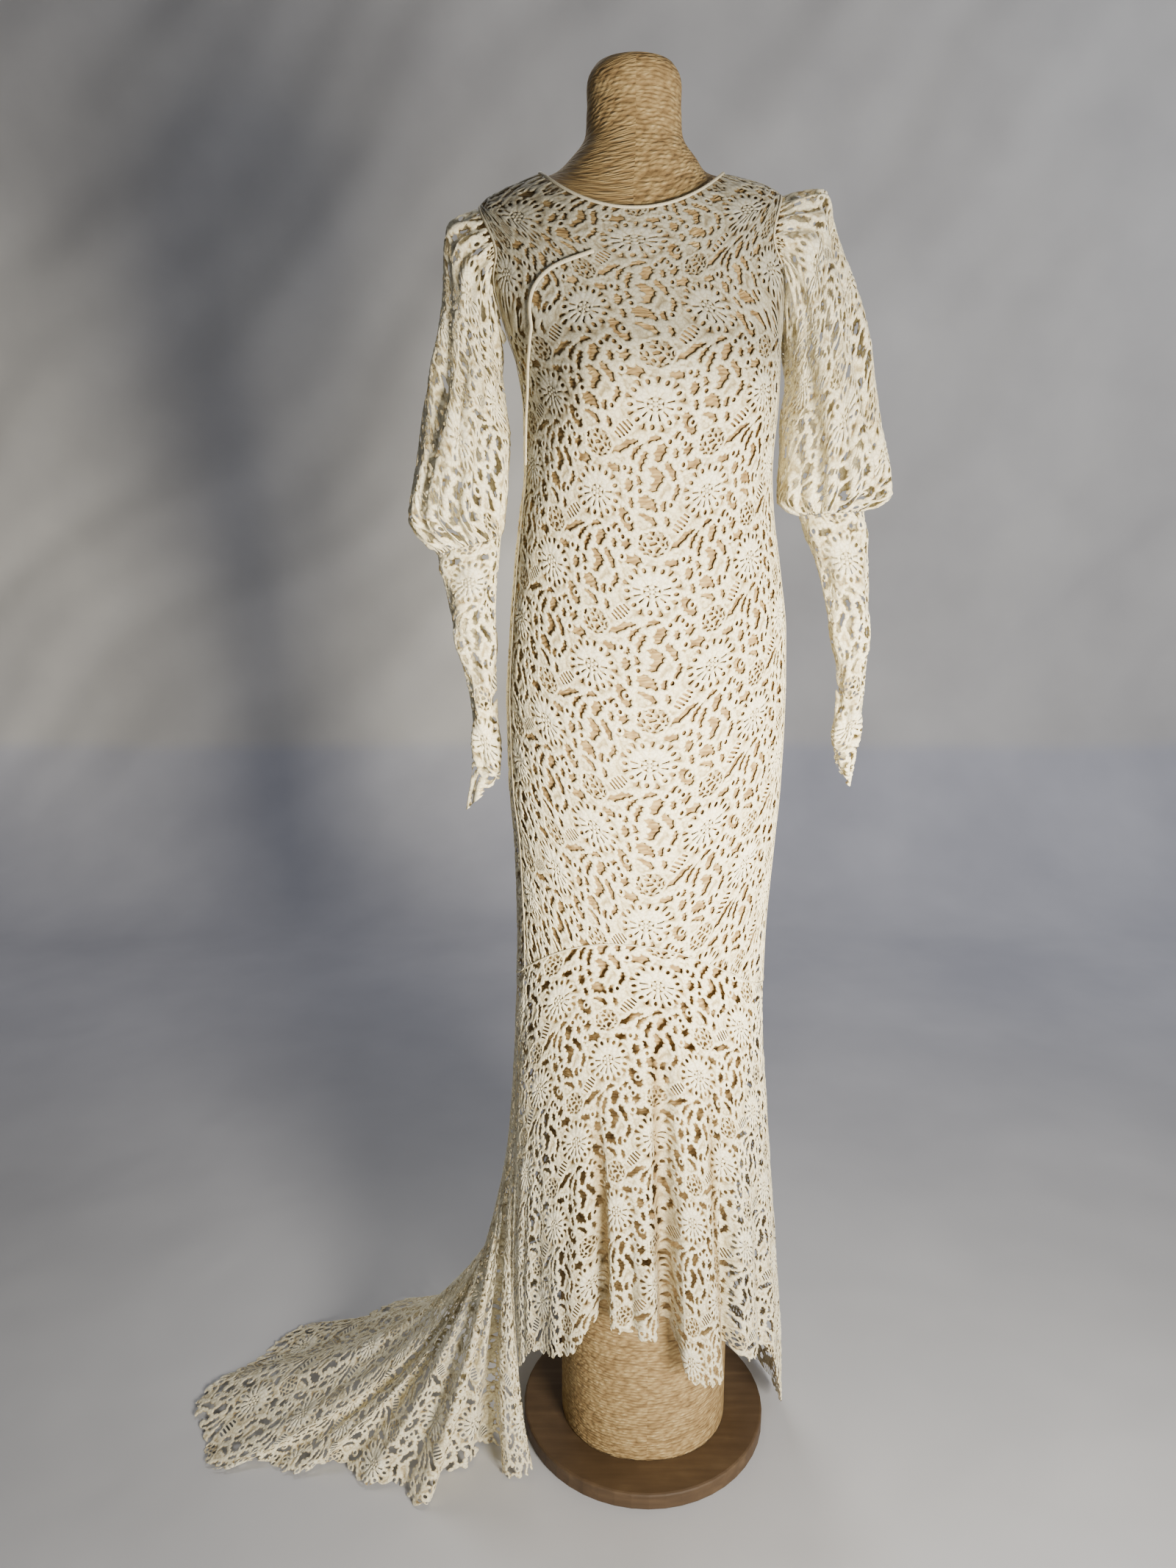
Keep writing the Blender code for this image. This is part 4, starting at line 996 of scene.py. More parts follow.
def sampled(grid, x, y, step):
    """A grid's values at points, read bilinearly."""
    i = np.clip((x / step).astype(int), 0, grid.shape[1] - 2)
    j = np.clip((y / step).astype(int), 0, grid.shape[0] - 2)
    s, t = x / step - i, y / step - j
    top = grid[j, i] * (1 - s) + grid[j, i + 1] * s
    low = grid[j + 1, i] * (1 - s) + grid[j + 1, i + 1] * s
    return top * (1 - t) + low * t


def tile(slack, longest, spacing):
    """One repeat of the lace: points in millimetres, triangles, and how far inside and how high each is."""
    step = FIELD_STEP
    x, y = np.meshgrid(np.arange(0, WIDE + 0.01, step), np.arange(0, DEEP + 0.01, step))
    made = lace(x, y)
    inside = made.inside
    points, lines, ends = [], [], []
    for run, closed in marching(inside, step):
        kept = thinned(run, closed, slack, longest)
        if len(kept) < (3 if closed else 2):
            continue
        first = len(points)
        points += [tuple(p) for p in kept]
        lines += [(first + k, first + k + 1) for k in range(len(kept) - 1)]
        if closed:
            lines.append((first + len(kept) - 1, first))
        else:
            ends += [first, first + len(kept) - 1]
    marks = [points[k] for k in ends]
    rim = []
    # The four sides: start, direction, length, and how many equal steps each has
    sides = (
        ((0, 0), (1, 0), WIDE, 58),
        ((WIDE, 0), (0, 1), DEEP, 48),
        ((WIDE, DEEP), (-1, 0), WIDE, 58),
        ((0, DEEP), (0, -1), DEEP, 48),
    )
    for start, along, size, steps in sides:
        here = [(k * size / steps, None) for k in range(steps)]
        for index, (px, py) in zip(ends, marks):
            away = (px - start[0]) * along[0] + (py - start[1]) * along[1]
            off = abs((px - start[0]) * along[1]) + abs((py - start[1]) * along[0])
            if off < 1e-6 and 0 < away < size:
                here = [(a, b) for a, b in here if b is not None or abs(a - away) > 0.35 or a == 0]
                here.append((away, index))
        for away, index in sorted(here, key=lambda item: item[0]):
            if index is None:
                index = len(points)
                points.append((start[0] + along[0] * away, start[1] + along[1] * away))
            rim.append(index)
    lines += list(zip(rim, rim[1:] + rim[:1]))
    grid_y, grid_x = np.mgrid[0.5:DEEP / (spacing * 0.866) - 0.2, 0.5:WIDE / spacing - 0.4]
    grid_x = (grid_x + 0.5 * (np.floor(grid_y) % 2)) * spacing
    grid_y = grid_y * spacing * 0.866
    grid_x, grid_y = grid_x.ravel(), grid_y.ravel()
    deep = sampled(inside, grid_x, grid_y, step) > 0.55 * spacing / 2
    clear = (grid_x > 0.6) & (grid_x < WIDE - 0.6) & (grid_y > 0.6) & (grid_y < DEEP - 0.6)
    points += list(zip(grid_x[deep & clear], grid_y[deep & clear]))
    out, _, faces, _, _, _ = delaunay_2d_cdt([Vector(p) for p in points], lines, [], 0, 1e-5)
    xy = np.array([tuple(p) for p in out])
    faces = np.array([f for f in faces if len(f) == 3])
    middle = xy[faces].mean(1)
    faces = faces[sampled(inside, middle[:, 0], middle[:, 1], step) > 0]
    depth = np.maximum(sampled(inside, xy[:, 0], xy[:, 1], step), 0)
    return xy, faces, depth, sampled(made.high, xy[:, 0], xy[:, 1], step)


def clipped(uv, extra, faces):
    """Triangles cut off at the unit square's edges; extra holds more columns carried along."""
    data = np.concatenate([uv, extra], 1)
    low, high = uv[faces].min(1), uv[faces].max(1)
    whole = (low >= 0).all(1) & (high <= 1).all(1)
    cross = ~whole & (high > 0).all(1) & (low < 1).all(1)
    made, polygons = [], []
    count = len(data)
    for face in faces[cross]:
        ring = [data[k] for k in face]
        for axis, side, limit in ((0, 1, 0.0), (0, -1, 1.0), (1, 1, 0.0), (1, -1, 1.0)):
            kept = []
            for k, point in enumerate(ring):
                ahead = ring[(k + 1) % len(ring)]
                a, b = side * (point[axis] - limit), side * (ahead[axis] - limit)
                if a >= 0:
                    kept.append(point)
                if (a > 0 > b) or (a < 0 < b):
                    kept.append(point + (ahead - point) * (a / (a - b)))
            ring = kept
            if len(ring) < 3:
                break
        if len(ring) >= 3:
            first = count + len(made)
            made += ring
            polygons += [(first, first + k, first + k + 1) for k in range(1, len(ring) - 1)]
    if made:
        data = np.concatenate([data, np.array(made)])
    triangles = np.concatenate([faces[whole], np.array(polygons, int).reshape(-1, 3)])
    return data, triangles


def laid(flat, repeat, scallop):
    """The lace laid out over a piece, with its hem cut in scallops this deep in metres.

    The columns are u, v to cut at, flat x and y, how far inside, how high, and v; the triangles come second.
    """
    xy, faces, inside, high = repeat
    parts, triangles, count = [], [], 0
    for row in range(-REPEAT_REACH, REPEAT_REACH):
        for column in range(-REPEAT_REACH, REPEAT_REACH):
            x = (column + row % 2 / 2) * (WIDE / 1000) + xy[:, 0] / 1000
            y = (row + 0.5) * (DEEP / 1000) + xy[:, 1] / 1000
            u, v = flat.to_uv(x, y)
            if u.max() < 0 or u.min() > 1 or v.max() < 0 or v.min() > 1:
                continue
            sound = np.ptp(u[faces], axis=1) < 1
            bite = 1 - np.abs(np.sin(np.pi * x / SCALLOP_PACE))
            cut = v + scallop / flat.mean * bite * ease(0.5, 1.0, v)
            data, kept = clipped(np.stack([u, cut], 1), np.stack([x, y, inside, high, v], 1), faces[sound])
            if len(kept):
                parts.append(data)
                triangles.append(kept + count)
                count += len(data)
    data, triangles = np.concatenate(parts), np.concatenate(triangles)
    key = np.round(data[:, 2:4] / 2e-5).astype(np.int64)
    _, first, index = np.unique(key, axis=0, return_index=True, return_inverse=True)
    triangles = index.reshape(-1)[triangles]
    data = data[first]
    triangles = triangles[(triangles != np.roll(triangles, 1, axis=1)).all(1)]
    used = np.zeros(len(data), bool)
    used[triangles] = True
    renumber = np.cumsum(used) - 1
    return data[used], renumber[triangles]


def mesh_from(name, points, triangles):
    """A mesh object from arrays of points and triangles, smooth all over."""
    mesh = bpy.data.meshes.new(name)
    mesh.vertices.add(len(points))
    mesh.vertices.foreach_set("co", np.asarray(points, np.float32).ravel())
    mesh.loops.add(3 * len(triangles))
    mesh.loops.foreach_set("vertex_index", np.asarray(triangles, np.int32).ravel())
    mesh.polygons.add(len(triangles))
    mesh.polygons.foreach_set("loop_start", np.arange(0, 3 * len(triangles), 3, dtype=np.int32))
    mesh.polygons.foreach_set("use_smooth", np.ones(len(triangles), bool))
    mesh.update(calc_edges=True)
    mesh.validate()
    made = bpy.data.objects.new(name, mesh)
    bpy.context.scene.collection.objects.link(made)
    return made


def mark(made, name, values):
    """A number at each point, which the material reads."""
    made.data.attributes.new(name, "FLOAT", "POINT").data.foreach_set("value", np.asarray(values, np.float32))


def surface_area(surface):
    """A surface's area in square metres."""
    u, v = np.meshgrid(np.linspace(0, 1, 201), np.linspace(0, 1, 161))
    p = surface(u, v)
    a = np.cross(p[1:, :-1] - p[:-1, :-1], p[:-1, 1:] - p[:-1, :-1])
    b = np.cross(p[1:, 1:] - p[1:, :-1], p[:-1, 1:] - p[1:, 1:])
    return float((np.linalg.norm(a, axis=-1).sum() + np.linalg.norm(b, axis=-1).sum()) / 2)


def lace_piece(name, surface, facing, repeat, finish, node,
               stands_out=None, scallop=0.0, marks=None):
    """A piece of the lace with its holes, in place of a solid; marks are more numbers for the material."""
    flat = Flat(surface)
    data, triangles = laid(flat, repeat, scallop)
    u, v = np.clip(data[:, 0], 0, 1), np.clip(data[:, 6], 0, 1)
    normal = outward(surface, u, v) * facing
    proud = RELIEF * (data[:, 5] - 0.6) - WALL / 2
    if stands_out:
        proud = proud + stands_out(u, v)
    points = surface(u, v) + normal * proud[:, None]
    points[:, 2] = np.maximum(points[:, 2], FLOOR_CLEAR)
    made = mesh_from(name, points, triangles[:, ::-facing])
    to_hem = (1 - data[:, 1]) * flat.mean * 1000 if scallop else data[:, 4]
    mark(made, "edge", np.minimum(data[:, 4], to_hem))
    mark(made, "high", data[:, 5])
    # The marks here carry painted shade: the shadow above the bust and the shade in the flounce's folds
    for word, shade in (marks or {}).items():
        mark(made, word, shade(u, v, points[:, 2]))
    made.data.materials.append(finish)
    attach(made, "root")
    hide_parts(node)
    area = surface_area(surface)
    print(name, len(triangles), "triangles")
    return made


class Finish:
    """A new material on the principled shader, and the nodes that feed it."""

    def __init__(self, name, rough):
        self.material = bpy.data.materials.new(name)
        self.material.use_nodes = True
        self.tree = self.material.node_tree
        self.principled = self.tree.nodes["Principled BSDF"]
        self.principled.inputs["Roughness"].default_value = rough

    def feed(self, socket, value):
        """Another node's output or a plain value into an input."""
        if isinstance(value, bpy.types.NodeSocket):
            self.tree.links.new(value, socket)
        else:
            socket.default_value = value

    def node(self, kind, output, inputs, **settings):
        """One output of a new node, whose inputs come by name or number."""
        made = self.tree.nodes.new("ShaderNode" + kind)
        for key, value in settings.items():
            setattr(made, key, value)
        for key, value in inputs.items():
            self.feed(made.inputs[key], value)
        return made.outputs[output]

    def where(self):
        """The place in the scene."""
        return self.node("NewGeometry", "Position", {})

    def read(self, name):
        """A number that the mesh carries at each point."""
        return self.node("Attribute", "Fac", {}, attribute_name=name)

    def part(self, vector, axis):
        """One axis of a vector."""
        return self.node("SeparateXYZ", axis, {"Vector": vector})

    def stretched(self, vector, scale, turn):
        """A vector scaled, and turned about Z."""
        inputs = {"Vector": vector, "Scale": scale, "Rotation": (0.0, 0.0, turn)}
        return self.node("Mapping", "Vector", inputs)

    def noise(self, vector, scale, detail, distortion=0.0):
        """Smooth noise."""
        inputs = {"Vector": vector, "Scale": scale, "Detail": detail, "Distortion": distortion}
        return self.node("TexNoise", "Fac", inputs)

    def sum_of(self, operation, *values):
        """Sums, products and the like."""
        return self.node("Math", "Value", dict(enumerate(values)), operation=operation)

    def passed(self, value, start, end):
        """A soft step from 0 to 1."""
        inputs = {"Value": value, "From Min": start, "From Max": end}
        return self.node("MapRange", "Result", inputs, interpolation_type="SMOOTHSTEP")

    def mixed(self, factor, first, second, blend="MIX"):
        """Two colours blended."""
        inputs = {"Factor": factor, "A": first, "B": second}
        return self.node("Mix", "Result", inputs, data_type="RGBA", blend_type=blend)

    def ramp(self, source, *stops):
        """A colour ramp over a number."""
        made = self.tree.nodes.new("ShaderNodeValToRGB")
        self.feed(made.inputs["Fac"], source)
        element = made.color_ramp.elements
        while len(element) < len(stops):
            element.new(0.5)
        for slot, (at, colour) in zip(element, stops):
            slot.position = at
            slot.color = (*colour, 1)
        return made.outputs["Color"]

    def done(self, colour, height, strength, distance, sheen=0.0):
        """The material, with its colour and its bump."""
        inputs = {"Height": height, "Strength": strength, "Distance": distance}
        self.feed(self.principled.inputs["Base Color"], colour)
        self.feed(self.principled.inputs["Normal"], self.node("Bump", "Normal", inputs))
        self.principled.inputs["Sheen Weight"].default_value = sheen
        return self.material


def lace_finish(name):
    """Cotton thread: colour from the relief, with painted shade in the sunken net and lightest on the raised
    cords, painted shade lines between small cells, painted shadow above the bust, painted shade in the
    flounce's folds, and a fine thread grain.
    """
    thread = Finish(name, 0.82)
    where = thread.where()
    # Colour from the relief: painted shade in the sunken parts, the raised cords lightest
    painted_relief_shade = thread.ramp(
        thread.read("high"),
        (0.02, (0.34, 0.25, 0.12)), (0.30, (0.66, 0.58, 0.37)),
        (0.56, (0.93, 0.87, 0.62)), (0.84, (1.00, 0.96, 0.76)),
    )
    shade = thread.ramp(thread.noise(where, 9.0, 2.0), (0.3, (0.90, 0.88, 0.84)), (0.7, (1.0, 1.0, 1.0)))
    last = thread.mixed(1.0, painted_relief_shade, shade, "MULTIPLY")
    # Painted shade: dark lines along the edges of small cells, as where lobes meet
    inputs = {"Vector": where, "Scale": 190.0}
    buds = thread.node("TexVoronoi", "Distance", inputs, feature="DISTANCE_TO_EDGE")
    crease = thread.ramp(buds, (0.0, (0.52, 0.45, 0.36)), (0.16, (1.0, 1.0, 1.0)))
    last = thread.mixed(0.5, last, crease, "MULTIPLY")
    # Painted shadow over the lace above the bust (yoke) and painted shade in the bottoms of the flounce's
    # folds (fold)
    for word, painted_shade in (("yoke", (0.50, 0.51, 0.54, 1)), ("fold", (0.50, 0.41, 0.29, 1))):
        last = thread.mixed(thread.read(word), last, painted_shade, "MULTIPLY")
    rounded = thread.passed(thread.read("edge"), 0.0, 1.4)
    height = thread.sum_of("MULTIPLY_ADD", thread.noise(where, 900.0, 3.0), 0.35, rounded)
    return thread.done(last, height, 0.6, 0.0006, sheen=0.15)


def jute_finish():
    """Wound twine: uneven rows with painted shade between them, slanted strands with painted highlights on
    them, and stray fibres.
    """
    jute = Finish("jute_twine", 0.85)
    uv = jute.node("UVMap", "UV", {}, uv_map="wound")

    def fibres(scale, turn, detail):
        return jute.noise(jute.stretched(uv, scale, turn), 1.0, detail)

    bend = jute.sum_of("MULTIPLY", fibres((30.0, 50.0, 1.0), 0.35, 3.0), 2.2)
    rows = jute.sum_of("MULTIPLY_ADD", jute.part(uv, "Y"), 1 / TWINE, bend)
    row = jute.sum_of("ABSOLUTE", jute.sum_of("SINE", jute.sum_of("MULTIPLY", rows, PI)))
    slant = jute.sum_of("MULTIPLY_ADD", jute.part(uv, "X"), 1 / STRAND, jute.sum_of("MULTIPLY", rows, 0.35))
    inputs = {
        "Vector": jute.node("CombineXYZ", "Vector", {"X": slant, "Y": rows}),
        "Scale": 1.0, "Randomness": 0.85, "Smoothness": 0.35,
    }
    cell = jute.node("TexVoronoi", "Distance", inputs, feature="SMOOTH_F1")
    strand = jute.sum_of("MULTIPLY_ADD", cell, -1.5, 1.1)
    loose = jute.sum_of("MULTIPLY", fibres((330.0, 900.0, 1.0), 0.8, 4.0), 0.55)
    height = jute.sum_of("MULTIPLY_ADD", row, 0.30, jute.sum_of("ADD", strand, loose))
    patch = jute.sum_of("MULTIPLY_ADD", fibres((45.0, 60.0, 1.0), 0.3, 3.0), 0.35, 0.04)
    # Colour follows the twine's relief: painted shade in the grooves between rows and strands, painted
    # highlights on the strands' crowns; the patches are the twine's own uneven tone
    colour = jute.ramp(
        jute.sum_of("MULTIPLY_ADD", height, 0.28, patch),
        (0.16, (0.120, 0.066, 0.022)), (0.38, (0.300, 0.195, 0.078)),
        (0.58, (0.470, 0.335, 0.150)), (0.80, (0.800, 0.660, 0.390)),
    )
    return jute.done(colour, height, 0.8, 0.0016)


def wood_finish():
    """Brown stained board: a faint grain across it, and scuffs."""
    wood = Finish("stained_wood", 0.62)
    where = wood.where()
    grain = wood.noise(wood.stretched(where, (5.0, 60.0, 60.0), 0.25), 1.6, 7.0, 0.3)
    scuff = wood.sum_of("MULTIPLY", wood.noise(where, 26.0, 5.0), 0.4)
    height = wood.sum_of("MULTIPLY_ADD", grain, 0.6, scuff)
    colour = wood.ramp(
        height, (0.30, (0.054, 0.031, 0.013)), (0.52, (0.084, 0.050, 0.023)), (0.75, (0.130, 0.083, 0.040)),
    )
    return wood.done(colour, height, 0.18, 0.0004)


def binding_finish():
    """A cream rolled edge with a fine twill."""
    cream = Finish("cream_binding", 0.7)
    grain = cream.noise(cream.where(), 700.0, 3.0)
    colour = cream.ramp(grain, (0.3, (0.56, 0.50, 0.35)), (0.7, (0.72, 0.66, 0.48)))
    return cream.done(colour, grain, 0.5, 0.0004)


def curved(path, values, at):
    """Values between rows along a path, as a smooth curve through them."""
    slope = np.gradient(values, path, axis=0)
    i = np.clip(np.searchsorted(path, at, "right") - 1, 0, len(path) - 2)
    h = (path[i + 1] - path[i])[:, None, None]
    f = ((at - path[i])[:, None, None]) / h
    return hermite(values[i], values[i + 1], slope[i], slope[i + 1], h, f)


def stacked(*triples):
    """Triangles from grids of corner numbers, three grids for each kind of triangle."""
    return np.concatenate([np.stack(triple, -1).reshape(-1, 3) for triple in triples])


def wound_form(finish):
    """The dress form in fine rings, mapped so that the twine winds round it."""
    around = FORM_AROUND
    rings = figure_rings(np.arange(around) * 360 / around)
    path = np.concatenate([[0], np.cumsum(np.linalg.norm(np.diff(rings, axis=0), axis=-1).mean(1))])
    wanted = []
    for k in range(len(path) - 1):
        height = rings[k, :, 2].mean()
        step = FORM_STEPS[0] if height > FORM_BARE[0] or height < FORM_BARE[1] else FORM_STEPS[1]
        steps = max(2, int((path[k + 1] - path[k]) / step) + 1)
        wanted.append(np.linspace(path[k], path[k + 1], steps)[:-1])
    wanted = np.concatenate(wanted + [[path[-1]]])
    fine = curved(path, rings, wanted)
    count = len(fine)
    points = fine.reshape(-1, 3)
    top, foot = fine[0].mean(0) + np.array([0, 0, 0.0006]), fine[-1].mean(0)
    points = np.concatenate([points, [top], [foot]])
    k, i = np.meshgrid(np.arange(count - 1), np.arange(around), indexing="ij")
    j = (i + 1) % around
    a, b, c, d = k * around + i, (k + 1) * around + i, (k + 1) * around + j, k * around + j
    ring = np.arange(around)
    last = (count - 1) * around
    cap = (np.full(around, len(points) - 2), ring, (ring + 1) % around)
    under = (np.full(around, len(points) - 1), last + (ring + 1) % around, last + ring)
    triangles = stacked((a, b, c), (a, c, d), cap, under)
    made = mesh_from("wound_form", points, triangles)
    size = np.linalg.norm(np.roll(fine, -1, axis=1) - fine, axis=-1).sum(1)
    loops = np.empty(3 * len(triangles), np.int32)
    made.data.loops.foreach_get("vertex_index", loops)
    corner = loops.reshape(-1, 3)
    share = np.where(corner < len(points) - 2, (corner % around) / around, 0.5)
    share = np.where(share.max(1, keepdims=True) - share > 0.5, share + 1, share)
    row = np.minimum(corner // around, count - 1)
    down = np.where(corner == len(points) - 2, -0.045, wanted[row])
    girth = size[row]
    uv = np.stack([share * girth, down + share * TWINE], -1)
    layer = made.data.uv_layers.new(name="wound")
    layer.data.foreach_set("uv", uv.astype(np.float32).ravel())
    made.data.materials.append(finish)
    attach(made, "root")
    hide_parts("form_body")
    return made


def tube(name, path, across, radius, finish, closed=False, sides=8, flat=1.0):
    """A thin tube along a path; across points out of the cloth at each point, and flat thins it that way."""
    path, across = np.asarray(path), np.asarray(across)
    ahead = np.roll(path, -1, 0) - np.roll(path, 1, 0)
    if not closed:
        ahead[0], ahead[-1] = path[1] - path[0], path[-1] - path[-2]
    ahead /= np.linalg.norm(ahead, axis=1)[:, None]
    side = np.cross(ahead, across)
    side /= np.linalg.norm(side, axis=1)[:, None]
    out = np.cross(side, ahead)
    turn = np.arange(sides) * 2 * np.pi / sides
    radius = np.broadcast_to(radius, (len(path),))[:, None, None]
    ring = side[:, None] * np.cos(turn)[None, :, None] + out[:, None] * (np.sin(turn) * flat)[None, :, None]
    points = (path[:, None] + ring * radius).reshape(-1, 3)
    count = len(path) if closed else len(path) - 1
    k, i = np.meshgrid(np.arange(count), np.arange(sides), indexing="ij")
    j, n = (i + 1) % sides, (k + 1) % len(path)
    a, b, c, d = k * sides + i, n * sides + i, n * sides + j, k * sides + j
    grids = [(a, c, b), (a, d, c)]
    if not closed:
        points = np.concatenate([points, path[:1], path[-1:]])
        ring_i = np.arange(sides)
        last = (len(path) - 1) * sides
        grids.append((np.full(sides, len(points) - 2), (ring_i + 1) % sides, ring_i))
        grids.append((np.full(sides, len(points) - 1), last + ring_i, last + (ring_i + 1) % sides))
    made = mesh_from(name, points, stacked(*grids))
    made.data.materials.append(finish)
    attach(made, "root")
    return made


def seam_tape(name, surface, run, width, finish, lift):
    """A narrow raised tape along a run of (u, v) points on a surface."""
    u, v = run
    normal = outward(surface, u, v)
    path = surface(u, v) + normal * lift
    return tube(name, path, normal, width / 2, finish, flat=0.32)


def stage_cloth(name, points_at, across, down, finish):
    """A wide smooth sheet for the stage."""
    u, v = np.meshgrid(np.linspace(0, 1, across), np.linspace(0, 1, down))
    points = points_at(u, v).reshape(-1, 3)
    k, i = np.meshgrid(np.arange(down - 1), np.arange(across - 1), indexing="ij")
    a = k * across + i
    far = a + across + 1
    made = mesh_from(name, points, stacked((a, a + across, far), (a, far, a + 1)))
    made.data.materials.append(finish)
    return made


def backdrop_finish():
    """Pale cloth: a plain floor, a cooler grey low on the hung part and a warmer one above."""
    cloth = Finish("pale_cloth", 0.85)
    where = cloth.where()
    broad = cloth.noise(where, 2.2, 4.0)
    floor, low, high = [
        cloth.ramp(broad, (0.3, dark), (0.7, bright))
        for dark, bright in (FLOOR_TONES, LOW_TONES, HIGH_TONES)
    ]
    colour = cloth.mixed(cloth.passed(cloth.part(where, "Y"), *LOW_FROM), floor, low)
    colour = cloth.mixed(cloth.passed(cloth.part(where, "Z"), *HIGH_FROM), colour, high)
    wrinkle = cloth.noise(where, 2.8, 2.0, 0.35)
    return cloth.done(colour, wrinkle, 0.18, 0.05, sheen=0.1)


def backdrop(u, v):
    """A pale cloth that hangs behind, curves round and runs out along the floor."""
    x = -BACK_HALF + 2 * BACK_HALF * u
    turn = BACK_CURVE * math.pi / 2
    floor = BACK_CURVE + BACK_FLOOR
    path = v * (BACK_RISE + turn + floor)
    hung = np.clip(path, 0, BACK_RISE)
    round_it = np.clip(path - BACK_RISE, 0, turn) / BACK_CURVE
    along = np.clip(path - BACK_RISE - turn, 0, None)
    y = BACK_AT - BACK_CURVE * (1 - np.cos(round_it)) - along
    z = BACK_CURVE + BACK_RISE - hung - BACK_CURVE * np.sin(round_it)
    slack = ease(0.05, 0.6, z)
    bend = x + 0.10 * np.sin(2.6 * z + 0.5) + 0.05 * np.sin(6.1 * z + 2.0)
    fold = 0.020 * np.sin(4.1 * bend + 2.9 * z) + 0.012 * np.sin(9.0 * bend - 7.0 * z + 1.3)
    fold = fold + 0.005 * np.sin(17.0 * bend - 19.0 * z + 2.0 * np.sin(3.1 * x + 1.1 * z))
    crease = 0.003 * np.exp(-(np.sin(1.9 * bend - 1.5 * z + 0.6) / 0.20) ** 2)
    return np.stack([x, y - (fold + crease) * slack, z], -1)


def light(name, place, aim, size, power, colour, cone=None):
    """A soft square light, or a round one with a cone in degrees."""
    data = bpy.data.lights.new(name, "SPOT" if cone else "AREA")
    if cone:
        data.spot_size, data.spot_blend, data.shadow_soft_size = math.radians(cone), 1.0, size / 2
    else:
        data.shape, data.size = "SQUARE", size
    data.energy, data.color = power, colour
    made = bpy.data.objects.new(name, data)
    made.location = place
    made.rotation_euler = (Vector(aim) - Vector(place)).to_track_quat("-Z", "Y").to_euler()
    bpy.context.scene.collection.objects.link(made)


def camera():
    """The photo's camera."""
    data = bpy.data.cameras.new("camera")
    data.sensor_fit, data.sensor_height = "VERTICAL", SENSOR_HEIGHT
    data.lens = CAMERA_FOCUS * SENSOR_HEIGHT / IMAGE_HEIGHT
    made = bpy.data.objects.new("camera", data)
    made.location = CAMERA_AT
    made.rotation_euler = (math.radians(90 - CAMERA_PITCH), 0, 0)
    bpy.context.scene.collection.objects.link(made)
    bpy.context.scene.camera = made


def world():
    """The faint light from all round."""
    made = bpy.data.worlds.new("studio")
    bpy.context.scene.world = made
    made.use_nodes = True
    sky = made.node_tree.nodes["Background"]
    sky.inputs["Color"].default_value = WORLD_COLOUR
    sky.inputs["Strength"].default_value = WORLD_POWER


def puff_gathers(u, v):
    """How far a puff's gathers stand out: at its head, at the elbow, and slack folds between."""
    head = 0.0036 * np.sin(2 * np.pi * 7 * u + 0.6) * ease(0.34, 0.04, v)
    elbow = 0.0048 * np.sin(2 * np.pi * 8 * u + 1.1 + 2 * v) * ease(0.66, 0.94, v)
    slack = 0.0040 * np.sin(2 * np.pi * (2.3 * u + 1.7 * v)) * bell(v, 0.5, 0.25)
    return (head + elbow + slack) * ease(0, 0.06, u) * ease(1, 0.94, u) * ease(0, 0.05, v) * ease(1, 0.97, v)


def cuff_twist(u, v):
    """The soft twist of a lower sleeve with no arm in it."""
    turn = 0.0030 * np.sin(2 * np.pi * (1.4 * u + 2.6 * v))
    turn = turn + 0.0014 * np.sin(2 * np.pi * (3.0 * u - 3.0 * v))
    return turn * ease(0, 0.12, u) * ease(1, 0.88, u) * ease(0, 0.08, v)


def flounce_creases(u, v, spread=1.0):
    """The flounce's deep folds one by one: how far into each a point is, from 0 to 1, and its depth."""
    for at, drift, wide, depth, top in FLOUNCE_CREASES:
        yield np.exp(-(((u - at - drift * v) / (wide * spread)) ** 2)) * ease(top, top + 0.35, v), depth


def painted_crease_shade(u, v, z):
    """How much painted shade each point of the flounce has, from how deep in a fold it is."""
    return sum(place for place, _ in flounce_creases(u, v, PAINTED_CREASE_SHADE_SPREAD))


def painted_yoke_shadow(u, v, z):
    """How much of the painted shadow above the bust each point of the front has."""
    edge = PAINTED_SHADOW_EDGE - PAINTED_SHADOW_DIP * (u - 0.5) ** 2 * ease(0.5, 0.0, u) - 0.02 * u
    return ease(-0.045, 0.045, z - edge)


def flounce_ripple(u, v):
    """Ripples of the front flounce, growing to its hem, between the deep folds of its front."""
    deep = -sum(place * depth for place, depth in flounce_creases(u, v))
    wave_out = 0.0016 * np.sin(2 * np.pi * 6.5 * u + 0.5 + v) + 0.0012 * np.sin(2 * np.pi * 17 * u + 4 * v)
    return (deep + wave_out * ease(0.15, 1.0, v)) * ease(0, 0.06, u) * ease(1, 0.94, u)


def train_ripple(start, end):
    """Ripples of one gore of the train."""

    def ripple(u, v):
        way = start + (end - start) * u
        fine = 0.0016 * np.sin(2 * np.pi * 13 * way + 0.4 + v)
        fine = fine + 0.0009 * np.sin(2 * np.pi * 41 * way + 3 * v)
        return fine * ease(0.12, 0.7, v) * ease(0, 0.04, way) * ease(1, 0.96, way)

    return ripple


